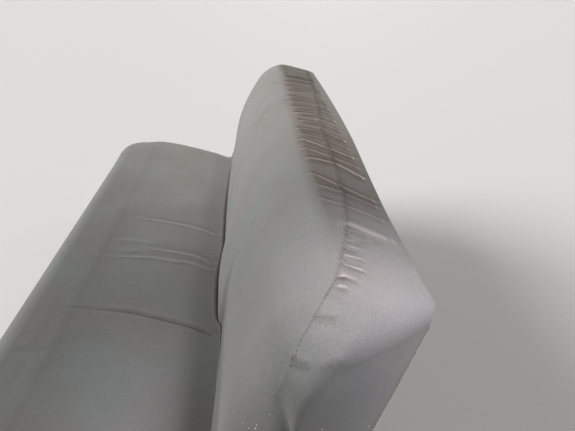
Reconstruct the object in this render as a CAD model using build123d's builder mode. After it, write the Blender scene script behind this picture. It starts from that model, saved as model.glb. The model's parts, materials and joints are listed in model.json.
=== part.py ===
from build123d import *
import math
import os

# Front bench seat of a four-door car, in millimetres.
# +X is the driver's side, -Y is forward, +Z is up. The floor is Z = 0, and the
# origin is on the floor under the middle of the whole seat.

os.makedirs("parts", exist_ok=True)

# Clearances
touch = 0.3  # round soft pieces, wires and clips
running = 0.3  # between the sliding rails, over and under the flange
side_play = 2.0  # between the sliding rails, sideways
shaft_fit = 0.1  # round the latch rod, in its ears, pawls and lever
latch_lift = 0.8  # between the raised latch tooth and the notched strip
beyond = 1.0  # how far a trimming outline stands outside the face that it leaves alone

# Overall
half_depth = 376.0  # from the origin to the foremost and to the rearmost point
cushion_half = 745.0
back_half = 706.0
front_pad = 36.0  # from the cushion's front face to the frame in it
end_pad = 55.0  # from the cushion's end to the frame in it

# Slide rails
track_x = 470.0  # each rail's middle, from the seat's middle
rail_base_z = 92.0
rail_gauge = 2.5
lower_half = 15.0
flange_reach = 8.0
rail_height = 20.0
lower_front_y = -284.0
lower_length = 434.0
upper_front_y = -265.0
upper_length = 380.0
upper_lip = 8.5

# Notched strip on each lower rail, and the latch that drops into it
notch_pitch = 12.7
notch_width = 7.0
notch_depth = 9.0
notch_count = 13
notches_forward = 5
notches_back = 4
strip_reach = 23.0
strip_z = 2.0  # above the rail's base
strip_gauge = 2.5
strip_margin = 8.0

# Latch rod, ears, pawls and lever
rod_r = 4.0
rod_y = -100.0
rod_z = 105.5
rod_inset = 0.3  # from the rail's wall to the rod's end
ear_gauge = 3.0
ear_half = 12.0
ear_drop = 7.3
pawl_gauge = 4.0
pawl_gap = 0.5
pawl_hub_r = 7.5
pawl_reach = 20.0
pawl_height = 7.0
tooth_width = 5.0
lever_inset = 12.0  # from the pawl to the lever, along the rod
lever_gauge = 4.0
lever_hub_r = 8.5
lever_height = 13.0
lever_end = 24.0  # from the cushion's front face back to the lever's end
lever_end_z = 93.0
knob_r = 10.5
knob_length = 21.0
knob_sides = 12
knob_nose = 4.0  # cut round the knob's front edge
knob_heel = 1.5  # cut round its rear edge

# Feet
foot_gauge = 3.0
foot_plate_gauge = 4.0
foot_plate_half = 32.0
foot_half = 20.0
foot_reach_low = 52.0
foot_reach_high = 30.0
foot_heel = 8.0
foot_plate_reach = 62.0
foot_head_reach = 34.0
foot_bolt_reach = 36.0
foot_bolt_r = 5.5
foot_corner = 12.0
foot_front_y = -250.0
foot_rear_y = 110.0

# Cushion frame: pressed channels
frame_gauge = 2.0
frame_rear_y = 70.0
channel = 30.0
cross_half = 22.0
cross_height = 22.0

# Zigzag springs on the cushion frame
wire = 4.0
spring_count = 10
spring_margin = 96.0  # from the frame's end to the outermost spring's middle
spring_half = 25.0
row_count = 17
bar_inset = 5.0  # from the rail's inner edge to the middle of the spring's end bar
bend_cut = 8.0
arch_rise = 36.0
arch_steps = 6
clip_gauge = 2.0
clip_half = 7.0
clip_lap = 5.0
tie_wire = 3.0
tie_steps = (2, 4)

# Woven sheet over the springs
deck_gauge = 5.0

# Cushion
cushion_base_z = 107.0
cushion_rear_y = 120.0
cushion_corner_r = 110.0
nose_tuck = 24.0  # how far the front face's lower edge lies behind it
nose_low_z = 150.0
nose_high_z = 258.0
nose_roll = 70.0  # depth of the roll from the front face to the top
nose_top_z = 331.0

# Backrest
back_base_z = 175.0
seam_y = 62.0
seam_bend_z = 240.0
junction_y = 72.0
junction_z = 334.0
belly = (106.0, 462.0)
shoulder = (165.0, 582.0)
brow = (200.0, 622.0)
crown = (262.0, 645.0)
band_fall = 13.2  # degrees that the top band drops towards the rear
rear_rake = 21.7  # degrees that the rear face leans back
edge_r = 14.0
edge_z = 606.0
back_corner_r = 110.0
back_taper_y = 150.0  # where the ends start to draw in
back_taper = 92.0  # how far they have drawn in at the rear
taper_half_y = 279.5
taper_half = 27.6  # how far they have drawn in at taper_half_y

# Backrest's bottom rail and the brackets that carry it
back_rail_front_y = 110.0
back_rail_width = 40.0
back_rail_height = 24.0
back_rail_inset = 56.0  # from the backrest's end to the rail's end
bracket_xs = (-560.0, -190.0, 190.0, 560.0)
bracket_half = 25.0
bracket_gauge = 3.0
bracket_foot_z = 117.0
bracket_nose = 5.0

# Heights and places that follow from the sizes above
frame_front_y = front_pad - half_depth
frame_half = cushion_half - end_pad
frame_z = rail_base_z + rail_height + running + rail_gauge
frame_top = frame_z + channel
arch_front_y = frame_front_y + channel
arch_rear_y = frame_rear_y - channel
spring_z = frame_top + touch
clip_top = spring_z + wire + touch + clip_gauge
deck_edge_z = clip_top + touch
deck_rise = arch_rise - touch - clip_gauge
rear_end_y = seam_y - touch
flange_half = lower_half + flange_reach
upper_half = flange_half + side_play + rail_gauge
strip_half = lower_half + strip_reach
back_rail_top = back_base_z - touch
back_rail_z = back_rail_top - back_rail_height
back_rail_half = back_half - back_rail_inset
lever_end_y = lever_end - half_depth
sides = {"left": 1, "right": -1}


def arch(y, rise):
    """Height at y of a bow of this rise between the front and rear rails, in flat steps."""
    step = (arch_rear_y - arch_front_y) / arch_steps
    place = min(max((y - arch_front_y) / step, 0), arch_steps)
    low = min(int(place), arch_steps - 1)
    heights = [4 * rise * t * (1 - t) for t in (low / arch_steps, (low + 1) / arch_steps)]
    return heights[0] + (heights[1] - heights[0]) * (place - low)


def bowed(front_y, rear_y, edge_z, rise):
    """Points of a bowed line from front to rear, edge_z high over the rails."""
    step = (arch_rear_y - arch_front_y) / arch_steps
    stations = [front_y] + [arch_front_y + i * step for i in range(arch_steps + 1)] + [rear_y]
    return [(y, edge_z + arch(y, rise)) for y in stations]


def across(x, y, z):
    """A plane through this point for sections seen from the front, X to the right and Z up."""
    return Plane(origin=(x, y, z), x_dir=(1, 0, 0), z_dir=(0, -1, 0))


def finish(name, part):
    """Labels the part and writes its file."""
    part.label = name
    export_step(part, f"parts/{name}.step")


# Lower rails: a hat section that opens upwards, with a notched strip on the inboard side
tooth_y = rod_y + pawl_reach - tooth_width / 2
strip_y = tooth_y - (notches_forward - notches_back) * notch_pitch / 2
strip_length = notch_count * notch_pitch + 2 * strip_margin
for side, sign in sides.items():
    middle = sign * track_x
    with BuildPart() as lower_rail:
        with BuildSketch(across(middle, lower_front_y, rail_base_z)) as hat:
            with BuildLine():
                Polyline(
                    (0, 0),
                    (lower_half, 0),
                    (lower_half, rail_height - rail_gauge),
                    (flange_half, rail_height - rail_gauge),
                    (flange_half, rail_height),
                    (lower_half - rail_gauge, rail_height),
                    (lower_half - rail_gauge, rail_gauge),
                    (0, rail_gauge),
                )
                mirror(about=Plane.YZ)
            make_face()
        extrude(amount=-lower_length)
        with BuildSketch(Plane.XY.offset(rail_base_z + strip_z)) as strip:
            with Locations((middle - sign * (lower_half + strip_reach / 2), strip_y)):
                Rectangle(strip_reach, strip_length)
            with Locations((middle - sign * strip_half, strip_y)):
                with GridLocations(0, notch_pitch, 1, notch_count):
                    Rectangle(2 * notch_depth, notch_width, mode=Mode.SUBTRACT)
        extrude(amount=strip_gauge)
    finish(f"lower_rail_{side}", lower_rail.part)

# Feet: a pressed stand with tapered side walls on a bolted plate
feet = {
    "front": (foot_front_y, -1),
    "rear": (foot_rear_y, 1),
}
for end, (web_y, outward) in feet.items():
    for side, sign in sides.items():
        middle = sign * track_x
        with BuildPart() as foot:
            with BuildSketch(Plane.XY) as plate:
                with Locations((middle, web_y + outward * (foot_plate_reach - foot_heel) / 2)):
                    Rectangle(2 * foot_plate_half, foot_plate_reach + foot_heel)
                chamfer(plate.vertices(), foot_corner)
                with Locations((middle, web_y + outward * foot_bolt_reach)):
                    Circle(foot_bolt_r, mode=Mode.SUBTRACT)
            extrude(amount=foot_plate_gauge)
            with BuildSketch(Plane.YZ.offset(middle)) as wall:
                with BuildLine():
                    Polyline(
                        (web_y, foot_plate_gauge),
                        (web_y + outward * foot_reach_low, foot_plate_gauge),
                        (web_y + outward * foot_reach_high, rail_base_z - foot_gauge),
                        (web_y, rail_base_z - foot_gauge),
                        close=True,
                    )
                make_face()
            extrude(amount=foot_half, both=True)
            with BuildSketch(Plane.XY.offset(foot_plate_gauge)) as inside:
                with Locations((middle, web_y + outward * (foot_gauge + foot_reach_low / 2))):
                    Rectangle(2 * (foot_half - foot_gauge), foot_reach_low)
            extrude(amount=rail_base_z, mode=Mode.SUBTRACT)
            with BuildSketch(Plane.XY.offset(rail_base_z - foot_gauge)) as head:
                with Locations((middle, web_y + outward * (foot_head_reach - foot_heel) / 2)):
                    Rectangle(2 * foot_half, foot_head_reach + foot_heel)
            extrude(amount=foot_gauge)
        finish(f"foot_{end}_{side}", foot.part)

# Upper rails: lips reach in under the lower rail's flange, and an ear holds the latch rod
lip_z = rail_height - rail_gauge - running - rail_gauge
plate_z = rail_height + running
for side, sign in sides.items():
    middle = sign * track_x
    with BuildPart() as upper_rail:
        with BuildSketch(across(middle, upper_front_y, rail_base_z)) as cover:
            with BuildLine():
                Polyline(
                    (0, plate_z),
                    (upper_half - rail_gauge, plate_z),
                    (upper_half - rail_gauge, lip_z + rail_gauge),
                    (upper_half - rail_gauge - upper_lip, lip_z + rail_gauge),
                    (upper_half - rail_gauge - upper_lip, lip_z),
                    (upper_half, lip_z),
                    (upper_half, plate_z + rail_gauge),
                    (0, plate_z + rail_gauge),
                )
                mirror(about=Plane.YZ)
            make_face()
        extrude(amount=-upper_length)
        with BuildSketch(Plane.YZ.offset(middle - sign * upper_half)) as ear:
            with BuildLine():
                Polyline(
                    (rod_y - ear_half, frame_z - rail_gauge),
                    (rod_y + ear_half, frame_z - rail_gauge),
                    (rod_y + ear_half, rod_z),
                    (rod_y + ear_half / 2, rod_z - ear_drop),
                    (rod_y - ear_half / 2, rod_z - ear_drop),
                    (rod_y - ear_half, rod_z),
                    close=True,
                )
            make_face()
            with Locations((rod_y, rod_z)):
                Circle(rod_r + shaft_fit, mode=Mode.SUBTRACT)
        extrude(amount=-sign * ear_gauge)
    finish(f"upper_rail_{side}", upper_rail.part)

# Latch pawls: each hangs on the rod, with its tooth over the notched strip
tooth_z = rail_base_z + strip_z + strip_gauge + latch_lift
pawl_inset = upper_half + ear_gauge + pawl_gap
for side, sign in sides.items():
    with BuildPart() as pawl:
        with BuildSketch(Plane.YZ.offset(sign * (track_x - pawl_inset))) as plate:
            with Locations((rod_y, rod_z)):
                Circle(pawl_hub_r)
            with BuildLine():
                Polyline(
                    (rod_y, rod_z + pawl_height),
                    (rod_y + pawl_reach, rod_z + pawl_height / 2),
                    (rod_y + pawl_reach, tooth_z),
                    (rod_y + pawl_reach - tooth_width, tooth_z),
                    (rod_y + pawl_reach - tooth_width, rod_z - pawl_height / 2),
                    (rod_y, rod_z - pawl_height / 2),
                    close=True,
                )
            make_face()
            with Locations((rod_y, rod_z)):
                Circle(rod_r + shaft_fit, mode=Mode.SUBTRACT)
        extrude(amount=-sign * pawl_gauge)
    finish(f"latch_pawl_{side}", pawl.part)

# Rod that turns both pawls together
with BuildPart() as latch_rod:
    with BuildSketch(Plane.YZ) as round_bar:
        with Locations((rod_y, rod_z)):
            Circle(rod_r)
    extrude(amount=track_x - upper_half - rod_inset, both=True)
finish("latch_rod", latch_rod.part)

# Release lever, under the cushion's front edge on the driver's side
lever_x = track_x - pawl_inset - pawl_gauge - lever_inset
with BuildPart() as release_lever:
    with BuildSketch(Plane.YZ.offset(lever_x)) as bar:
        with Locations((rod_y, rod_z)):
            Circle(lever_hub_r)
        with BuildLine():
            Polyline(
                (rod_y, rod_z - lever_height / 2),
                (rod_y, rod_z + lever_height / 2),
                (lever_end_y, lever_end_z + lever_height / 2),
                (lever_end_y, lever_end_z - lever_height / 2),
                close=True,
            )
        make_face()
        with Locations((rod_y, rod_z)):
            Circle(rod_r + shaft_fit, mode=Mode.SUBTRACT)
    extrude(amount=lever_gauge / 2, both=True)
finish("release_lever", release_lever.part)

with BuildPart() as lever_knob:
    with BuildSketch(Plane.XZ.offset(-lever_end_y)):
        with Locations((lever_x, lever_end_z)):
            RegularPolygon(knob_r, knob_sides)
    extrude(amount=knob_length)
    ends = lever_knob.faces().filter_by(Axis.Y).sort_by(Axis.Y)
    chamfer(ends[0].edges(), knob_nose)
    chamfer(ends[-1].edges(), knob_heel)
finish("lever_knob", lever_knob.part)

# Springs: the meander of one spring in plan, cut from a bowed band
spring_spacing = 2 * (frame_half - spring_margin) / (spring_count - 1)
spring_xs = [(i - (spring_count - 1) / 2) * spring_spacing for i in range(spring_count)]
spring_mid_y = (arch_front_y + arch_rear_y) / 2
row_pitch = (arch_rear_y - arch_front_y + 2 * bar_inset) / (row_count - 1)
row_ys = [(i - (row_count - 1) / 2) * row_pitch for i in range(row_count)]
bend_side = [1 if i % 2 == 0 else -1 for i in range(row_count - 1)]
end_bars = [(spring_half / 2, row_ys[0]), (bend_side[-1] * spring_half / 2, row_ys[-1])]
bend_x = spring_half - wire / 2
inner_x = spring_half - wire
near = wire / 8
# A cut corner keeps the wire's width when its inner cut is this much shorter
inner_cut = bend_cut - (2 - math.sqrt(2)) * wire
with BuildSketch() as spring_plan:
    with Locations([(0, y) for y in row_ys[1:-1]]):
        Rectangle(2 * spring_half, wire)
    with Locations(end_bars):
        Rectangle(spring_half, wire)
    with Locations([(s * bend_x, y + row_pitch / 2) for s, y in zip(bend_side, row_ys)]):
        Rectangle(wire, row_pitch + wire)
    chamfer([v for v in spring_plan.vertices() if abs(abs(v.X) - inner_x) < near], inner_cut)
    chamfer([v for v in spring_plan.vertices() if abs(v.X) > spring_half - near], bend_cut)

band_low = bowed(frame_front_y, frame_rear_y, spring_z, arch_rise)
with BuildPart() as cushion_springs:
    with BuildSketch(Plane.XY.offset(spring_z)) as plans:
        with Locations([(x, spring_mid_y) for x in spring_xs]):
            add(spring_plan.sketch)
    extrude(amount=arch_rise + 2 * wire)
    with BuildSketch(Plane.YZ) as band:
        with BuildLine():
            Polyline(*band_low, *[(y, z + wire) for y, z in reversed(band_low)], close=True)
        make_face()
    extrude(amount=frame_half, both=True, mode=Mode.INTERSECT)
finish("cushion_springs", cushion_springs.part)

# Tie wires under the springs
with BuildPart() as tie_wires:
    for step in tie_steps:
        y = arch_front_y + step * (arch_rear_y - arch_front_y) / arch_steps
        lowest = min(arch(y - tie_wire / 2, arch_rise), arch(y + tie_wire / 2, arch_rise))
        with BuildSketch(Plane.YZ) as square:
            with Locations((y, spring_z + lowest - touch - tie_wire / 2)):
                Rectangle(tie_wire, tie_wire)
        extrude(amount=spring_xs[-1] + spring_half, both=True)
finish("tie_wires", tie_wires.part)

# Cushion frame: front and rear rails with a clip for each spring's end bar
rails = {
    "front": (frame_front_y, 1, row_ys[0], end_bars[0][0]),
    "rear": (frame_rear_y, -1, row_ys[-1], end_bars[1][0]),
}
for end, (web_y, inward, row_y, bar_x) in rails.items():
    bar_y = spring_mid_y + row_y
    clip_back = bar_y - inward * (wire / 2 + touch + clip_gauge)
    with BuildPart() as rail:
        with BuildSketch(Plane.YZ) as pressed:
            with BuildLine():
                Polyline(
                    (web_y, frame_z),
                    (web_y + inward * channel, frame_z),
                    (web_y + inward * channel, frame_z + frame_gauge),
                    (web_y + inward * frame_gauge, frame_z + frame_gauge),
                    (web_y + inward * frame_gauge, frame_top - frame_gauge),
                    (web_y + inward * channel, frame_top - frame_gauge),
                    (web_y + inward * channel, frame_top),
                    (web_y, frame_top),
                    close=True,
                )
            make_face()
        extrude(amount=frame_half, both=True)
        for x in spring_xs:
            with BuildSketch(Plane.YZ.offset(x + bar_x)) as clip:
                with BuildLine():
                    Polyline(
                        (clip_back, frame_top - frame_gauge / 2),
                        (clip_back + inward * clip_gauge, frame_top - frame_gauge / 2),
                        (clip_back + inward * clip_gauge, clip_top - clip_gauge),
                        (bar_y + inward * clip_lap, clip_top - clip_gauge),
                        (bar_y + inward * clip_lap, clip_top),
                        (clip_back, clip_top),
                        close=True,
                    )
                make_face()
            extrude(amount=clip_half, both=True)
    finish(f"frame_{end}_rail", rail.part)

# Cushion frame: end rails
rail_run = arch_rear_y - arch_front_y
for side, sign in sides.items():
    with BuildPart() as end_rail:
        with BuildSketch(Plane.XZ.offset(-arch_front_y)) as pressed:
            with BuildLine():
                Polyline(
                    (sign * frame_half, frame_z),
                    (sign * (frame_half - channel), frame_z),
                    (sign * (frame_half - channel), frame_z + frame_gauge),
                    (sign * (frame_half - frame_gauge), frame_z + frame_gauge),
                    (sign * (frame_half - frame_gauge), frame_top - frame_gauge),
                    (sign * (frame_half - channel), frame_top - frame_gauge),
                    (sign * (frame_half - channel), frame_top),
                    (sign * frame_half, frame_top),
                    close=True,
                )
            make_face()
        extrude(amount=-rail_run)
    finish(f"frame_end_{side}", end_rail.part)

# Cushion frame: cross members over the slide rails and one in the middle
crosses = {"left": track_x, "middle": 0, "right": -track_x}
for place, x in crosses.items():
    with BuildPart() as cross:
        with BuildSketch(Plane.XZ.offset(-arch_front_y)) as trough:
            with Locations((x, frame_z + cross_height / 2)):
                Rectangle(2 * cross_half, cross_height)
            with Locations((x, frame_z + (cross_height - frame_gauge) / 2)):
                Rectangle(
                    2 * (cross_half - frame_gauge), cross_height - frame_gauge, mode=Mode.SUBTRACT
                )
        extrude(amount=-rail_run)
    finish(f"frame_cross_{place}", cross.part)

# Woven sheet that lies on the springs
deck_low = bowed(frame_front_y, rear_end_y, deck_edge_z, deck_rise)
with BuildPart() as deck_sheet:
    with BuildSketch(Plane.YZ) as bow:
        with BuildLine():
            Polyline(*deck_low, *[(y, z + deck_gauge) for y, z in reversed(deck_low)], close=True)
        make_face()
    extrude(amount=frame_half, both=True)
finish("deck_sheet", deck_sheet.part)

# Cushion: cross sections from front to rear, trimmed to its side view and its plan,
# and hollow underneath where it fits over the frame.
# Columns: y, how far in from the cushion's end the hem, the side and the top's edge lie,
# the heights of the side, of the top's edge and of the top's middle, and how far the
# side swells out over the hem and the edge is rounded out over the side
cushion_sections = [
    (-400, 21, 0, 77, 222, 316, 326, 5, 17),
    (-210, 21, 0, 77, 222, 316, 326, 5, 17),
    (140, 39, 25, 185, 172, 297, 321, 4, 36),
]
hollow = bowed(frame_front_y - touch, cushion_rear_y, deck_edge_z + deck_gauge + touch, deck_rise)
with BuildPart() as seat_cushion:
    for y, hem_in, side_in, top_in, side_z, top_z, middle_z, swell, round_off in cushion_sections:
        hem = cushion_half - hem_in
        side_x = cushion_half - side_in
        top_x = cushion_half - top_in
        with BuildSketch(Plane.XZ.offset(-y)) as section:
            with BuildLine():
                low = ThreePointArc(
                    (hem, cushion_base_z),
                    ((hem + side_x) / 2 + swell, (cushion_base_z + side_z) / 2),
                    (side_x, side_z),
                )
                ThreePointArc(
                    low @ 1,
                    ((side_x + top_x) / 2 + round_off, (side_z + top_z) / 2 + round_off),
                    (top_x, top_z),
                )
                mirror(about=Plane.YZ)
                ThreePointArc((top_x, top_z), (0, middle_z), (-top_x, top_z))
                Line((hem, cushion_base_z), (-hem, cushion_base_z))
            make_face()
    loft(ruled=True)
    with BuildSketch(Plane.YZ) as side_view:
        with BuildLine():
            under = Line(
                (nose_tuck - half_depth, cushion_base_z - beyond), (seam_y - touch, cushion_base_z - beyond)
            )
            rise = Line(under @ 1, (seam_y - touch, seam_bend_z))
            lean = Line(rise @ 1, (junction_y - touch, junction_z))
            top = Line(lean @ 1, (nose_roll - half_depth, nose_top_z + beyond))
            roll = TangentArc((-half_depth, nose_high_z), top @ 1, tangent=(0, 1))
            face = Line(roll @ 0, (-half_depth, nose_low_z))
            TangentArc(face @ 1, under @ 0, tangent=(0, -1))
        make_face()
    extrude(amount=cushion_half + 2 * beyond, both=True, mode=Mode.INTERSECT)
    with BuildSketch(Plane.XY.offset(cushion_base_z - beyond)) as plan:
        with BuildLine():
            corner_y = cushion_corner_r - half_depth - beyond
            corner_x = cushion_half + beyond
            Line((0, -half_depth - beyond), (corner_x - cushion_corner_r, -half_depth - beyond))
            turn = CenterArc((corner_x - cushion_corner_r, corner_y), cushion_corner_r, -90, 90)
            Polyline(turn @ 1, (corner_x, cushion_rear_y), (0, cushion_rear_y))
            mirror(about=Plane.YZ)
        make_face()
    extrude(amount=junction_z, mode=Mode.INTERSECT)
    with BuildSketch(Plane.YZ) as space:
        with BuildLine():
            Polyline(
                (frame_front_y - touch, 0), *hollow, (cushion_rear_y, 0), close=True
            )
        make_face()
    extrude(amount=frame_half + touch, both=True, mode=Mode.SUBTRACT)
finish("seat_cushion", seat_cushion.part)

# Backrest: its side view, trimmed to rounded upper corners and to ends that
# draw in towards the rear
fall = math.radians(band_fall)
rake = math.radians(rear_rake)
edge_y = half_depth - edge_r
band_end = (edge_y + edge_r * math.sin(fall), edge_z + edge_r * math.cos(fall))
rear_start = (edge_y + edge_r * math.cos(rake), edge_z - edge_r * math.sin(rake))
rear_foot_y = rear_start[0] - (rear_start[1] - back_base_z) * math.tan(rake)
with BuildPart() as backrest:
    with BuildSketch(Plane.YZ) as back_side:
        with BuildLine():
            hidden = Polyline((seam_y, back_base_z), (seam_y, seam_bend_z), (junction_y, junction_z))
            panel = ThreePointArc(hidden @ 1, belly, shoulder)
            roll_over = ThreePointArc(panel @ 1, brow, crown)
            band = Line(roll_over @ 1, band_end)
            rim = ThreePointArc(band @ 1, (half_depth, edge_z), rear_start)
            rear = Line(rim @ 1, (rear_foot_y, back_base_z))
            Line(rear @ 1, hidden @ 0)
        make_face()
    extrude(amount=back_half + 2 * beyond, both=True)
    with BuildSketch(Plane.XZ) as back_front:
        with BuildLine():
            corner_x = back_half - back_corner_r
            corner_z = crown[1] + beyond - back_corner_r
            up = Line((back_half, back_base_z - beyond), (back_half, corner_z))
            CenterArc((corner_x, corner_z), back_corner_r, 0, 90)
            Line((corner_x, corner_z + back_corner_r), (0, corner_z + back_corner_r))
            Line((0, back_base_z - beyond), up @ 0)
            mirror(about=Plane.YZ)
        make_face()
    extrude(amount=2 * half_depth, both=True, mode=Mode.INTERSECT)
    with BuildSketch(Plane.XY) as back_plan:
        with BuildLine():
            wide = back_half + beyond
            far = half_depth + beyond
            straight = Polyline((0, 0), (wide, 0), (wide, back_taper_y))
            ThreePointArc(
                straight @ 1, (wide - taper_half, taper_half_y), (wide - back_taper, far)
            )
            Line((wide - back_taper, far), (0, far))
            mirror(about=Plane.YZ)
        make_face()
    extrude(amount=2 * crown[1], mode=Mode.INTERSECT)
finish("backrest", backrest.part)

# Backrest's bottom rail, a channel that opens downwards
with BuildPart() as back_rail:
    with BuildSketch(Plane.YZ) as trough:
        with Locations((back_rail_front_y + back_rail_width / 2, back_rail_z + back_rail_height / 2)):
            Rectangle(back_rail_width, back_rail_height)
        with Locations(
            (back_rail_front_y + back_rail_width / 2, back_rail_top - (back_rail_height + frame_gauge) / 2)
        ):
            Rectangle(
                back_rail_width - 2 * frame_gauge, back_rail_height - frame_gauge, mode=Mode.SUBTRACT
            )
    extrude(amount=back_rail_half, both=True)
finish("back_rail", back_rail.part)

# Brackets from the frame's rear rail to the backrest's bottom rail
bracket_end_y = back_rail_front_y + back_rail_width
for number, x in enumerate(bracket_xs, start=1):
    with BuildPart() as bracket:
        with BuildSketch(Plane.YZ.offset(x)) as gusset:
            with BuildLine():
                Polyline(
                    (frame_rear_y, bracket_foot_z),
                    (frame_rear_y + bracket_gauge, bracket_foot_z),
                    (bracket_end_y, back_rail_z - bracket_nose),
                    (bracket_end_y, back_rail_z),
                    (frame_rear_y, back_rail_z),
                    close=True,
                )
            make_face()
        extrude(amount=bracket_half, both=True)
        with BuildSketch(Plane.YZ.offset(x)) as inside:
            with BuildLine():
                Polyline(
                    (frame_rear_y + bracket_gauge, bracket_foot_z),
                    (bracket_end_y + beyond, bracket_foot_z),
                    (bracket_end_y + beyond, back_rail_z - bracket_gauge),
                    (frame_rear_y + bracket_gauge, back_rail_z - bracket_gauge),
                    close=True,
                )
            make_face()
        extrude(amount=bracket_half - bracket_gauge, both=True, mode=Mode.SUBTRACT)
    finish(f"back_bracket_{number}", bracket.part)
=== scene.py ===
"""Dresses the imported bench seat: its stretched covers, the jute deck, springs, fixings and finishes."""
import json
import logging
import math
from dataclasses import dataclass
from enum import Enum
from typing import ClassVar

import bmesh
import bpy
import numpy as np
from mathutils import Matrix, Vector
from mathutils.bvhtree import BVHTree


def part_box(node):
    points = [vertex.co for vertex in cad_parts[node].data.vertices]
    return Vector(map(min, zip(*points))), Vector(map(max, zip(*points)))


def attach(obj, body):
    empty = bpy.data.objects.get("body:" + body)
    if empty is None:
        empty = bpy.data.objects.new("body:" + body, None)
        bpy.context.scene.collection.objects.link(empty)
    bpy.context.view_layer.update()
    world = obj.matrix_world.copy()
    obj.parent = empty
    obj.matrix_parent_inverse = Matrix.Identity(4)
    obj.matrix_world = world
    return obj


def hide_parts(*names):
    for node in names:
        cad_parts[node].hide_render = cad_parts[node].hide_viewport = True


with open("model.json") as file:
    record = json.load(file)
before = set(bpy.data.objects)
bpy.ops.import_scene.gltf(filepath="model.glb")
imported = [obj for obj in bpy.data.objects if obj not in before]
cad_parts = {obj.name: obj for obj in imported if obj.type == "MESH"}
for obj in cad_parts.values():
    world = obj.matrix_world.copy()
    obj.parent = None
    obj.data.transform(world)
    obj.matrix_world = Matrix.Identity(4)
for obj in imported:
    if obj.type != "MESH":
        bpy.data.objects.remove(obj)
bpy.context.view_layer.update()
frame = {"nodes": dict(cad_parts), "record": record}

NODES = frame["nodes"]
MM = 0.001
SEED = 1958
DECK_FRONT_MM, DECK_RUN_MM = -310.0, 350.0
LOG = logging.getLogger("bench_seat")


class Body(Enum):
    """The two bodies that the joint moves against each other."""

    TRACKS = "floor_tracks"
    SEAT = "seat"


class Side(Enum):
    """Which side of a ridge its valley lies on, seen along the ridge."""

    LEFT = 1
    RIGHT = -1


def linear(hex_colour: str) -> tuple[float, float, float, float]:
    """Turns an sRGB hex colour into the linear colour that a socket takes.

    Args:
        hex_colour: a mark and six hex digits.

    Returns:
        Red, green and blue, linear, and 1.
    """
    shares = [int(hex_colour[i:i + 2], 16) / 255 for i in (1, 3, 5)]
    light = [c / 12.92 if c <= 0.04045 else ((c + 0.055) / 1.055) ** 2.4 for c in shares]
    return light[0], light[1], light[2], 1.0


def add_node(tree: bpy.types.NodeTree, kind: str, settings: dict | None = None,
             inputs: dict | None = None) -> bpy.types.Node:
    """Adds a node with its settings and its links.

    Args:
        tree: the material's node tree.
        kind: the node's type.
        settings: properties by name.
        inputs: values or sockets by the input's name or number.

    Returns:
        The new node.
    """
    node = tree.nodes.new(kind)
    for name, value in (settings or {}).items():
        setattr(node, name, value)
    for key, value in (inputs or {}).items():
        if isinstance(value, bpy.types.NodeSocket):
            tree.links.new(value, node.inputs[key])
        else:
            node.inputs[key].default_value = value
    return node


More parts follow.
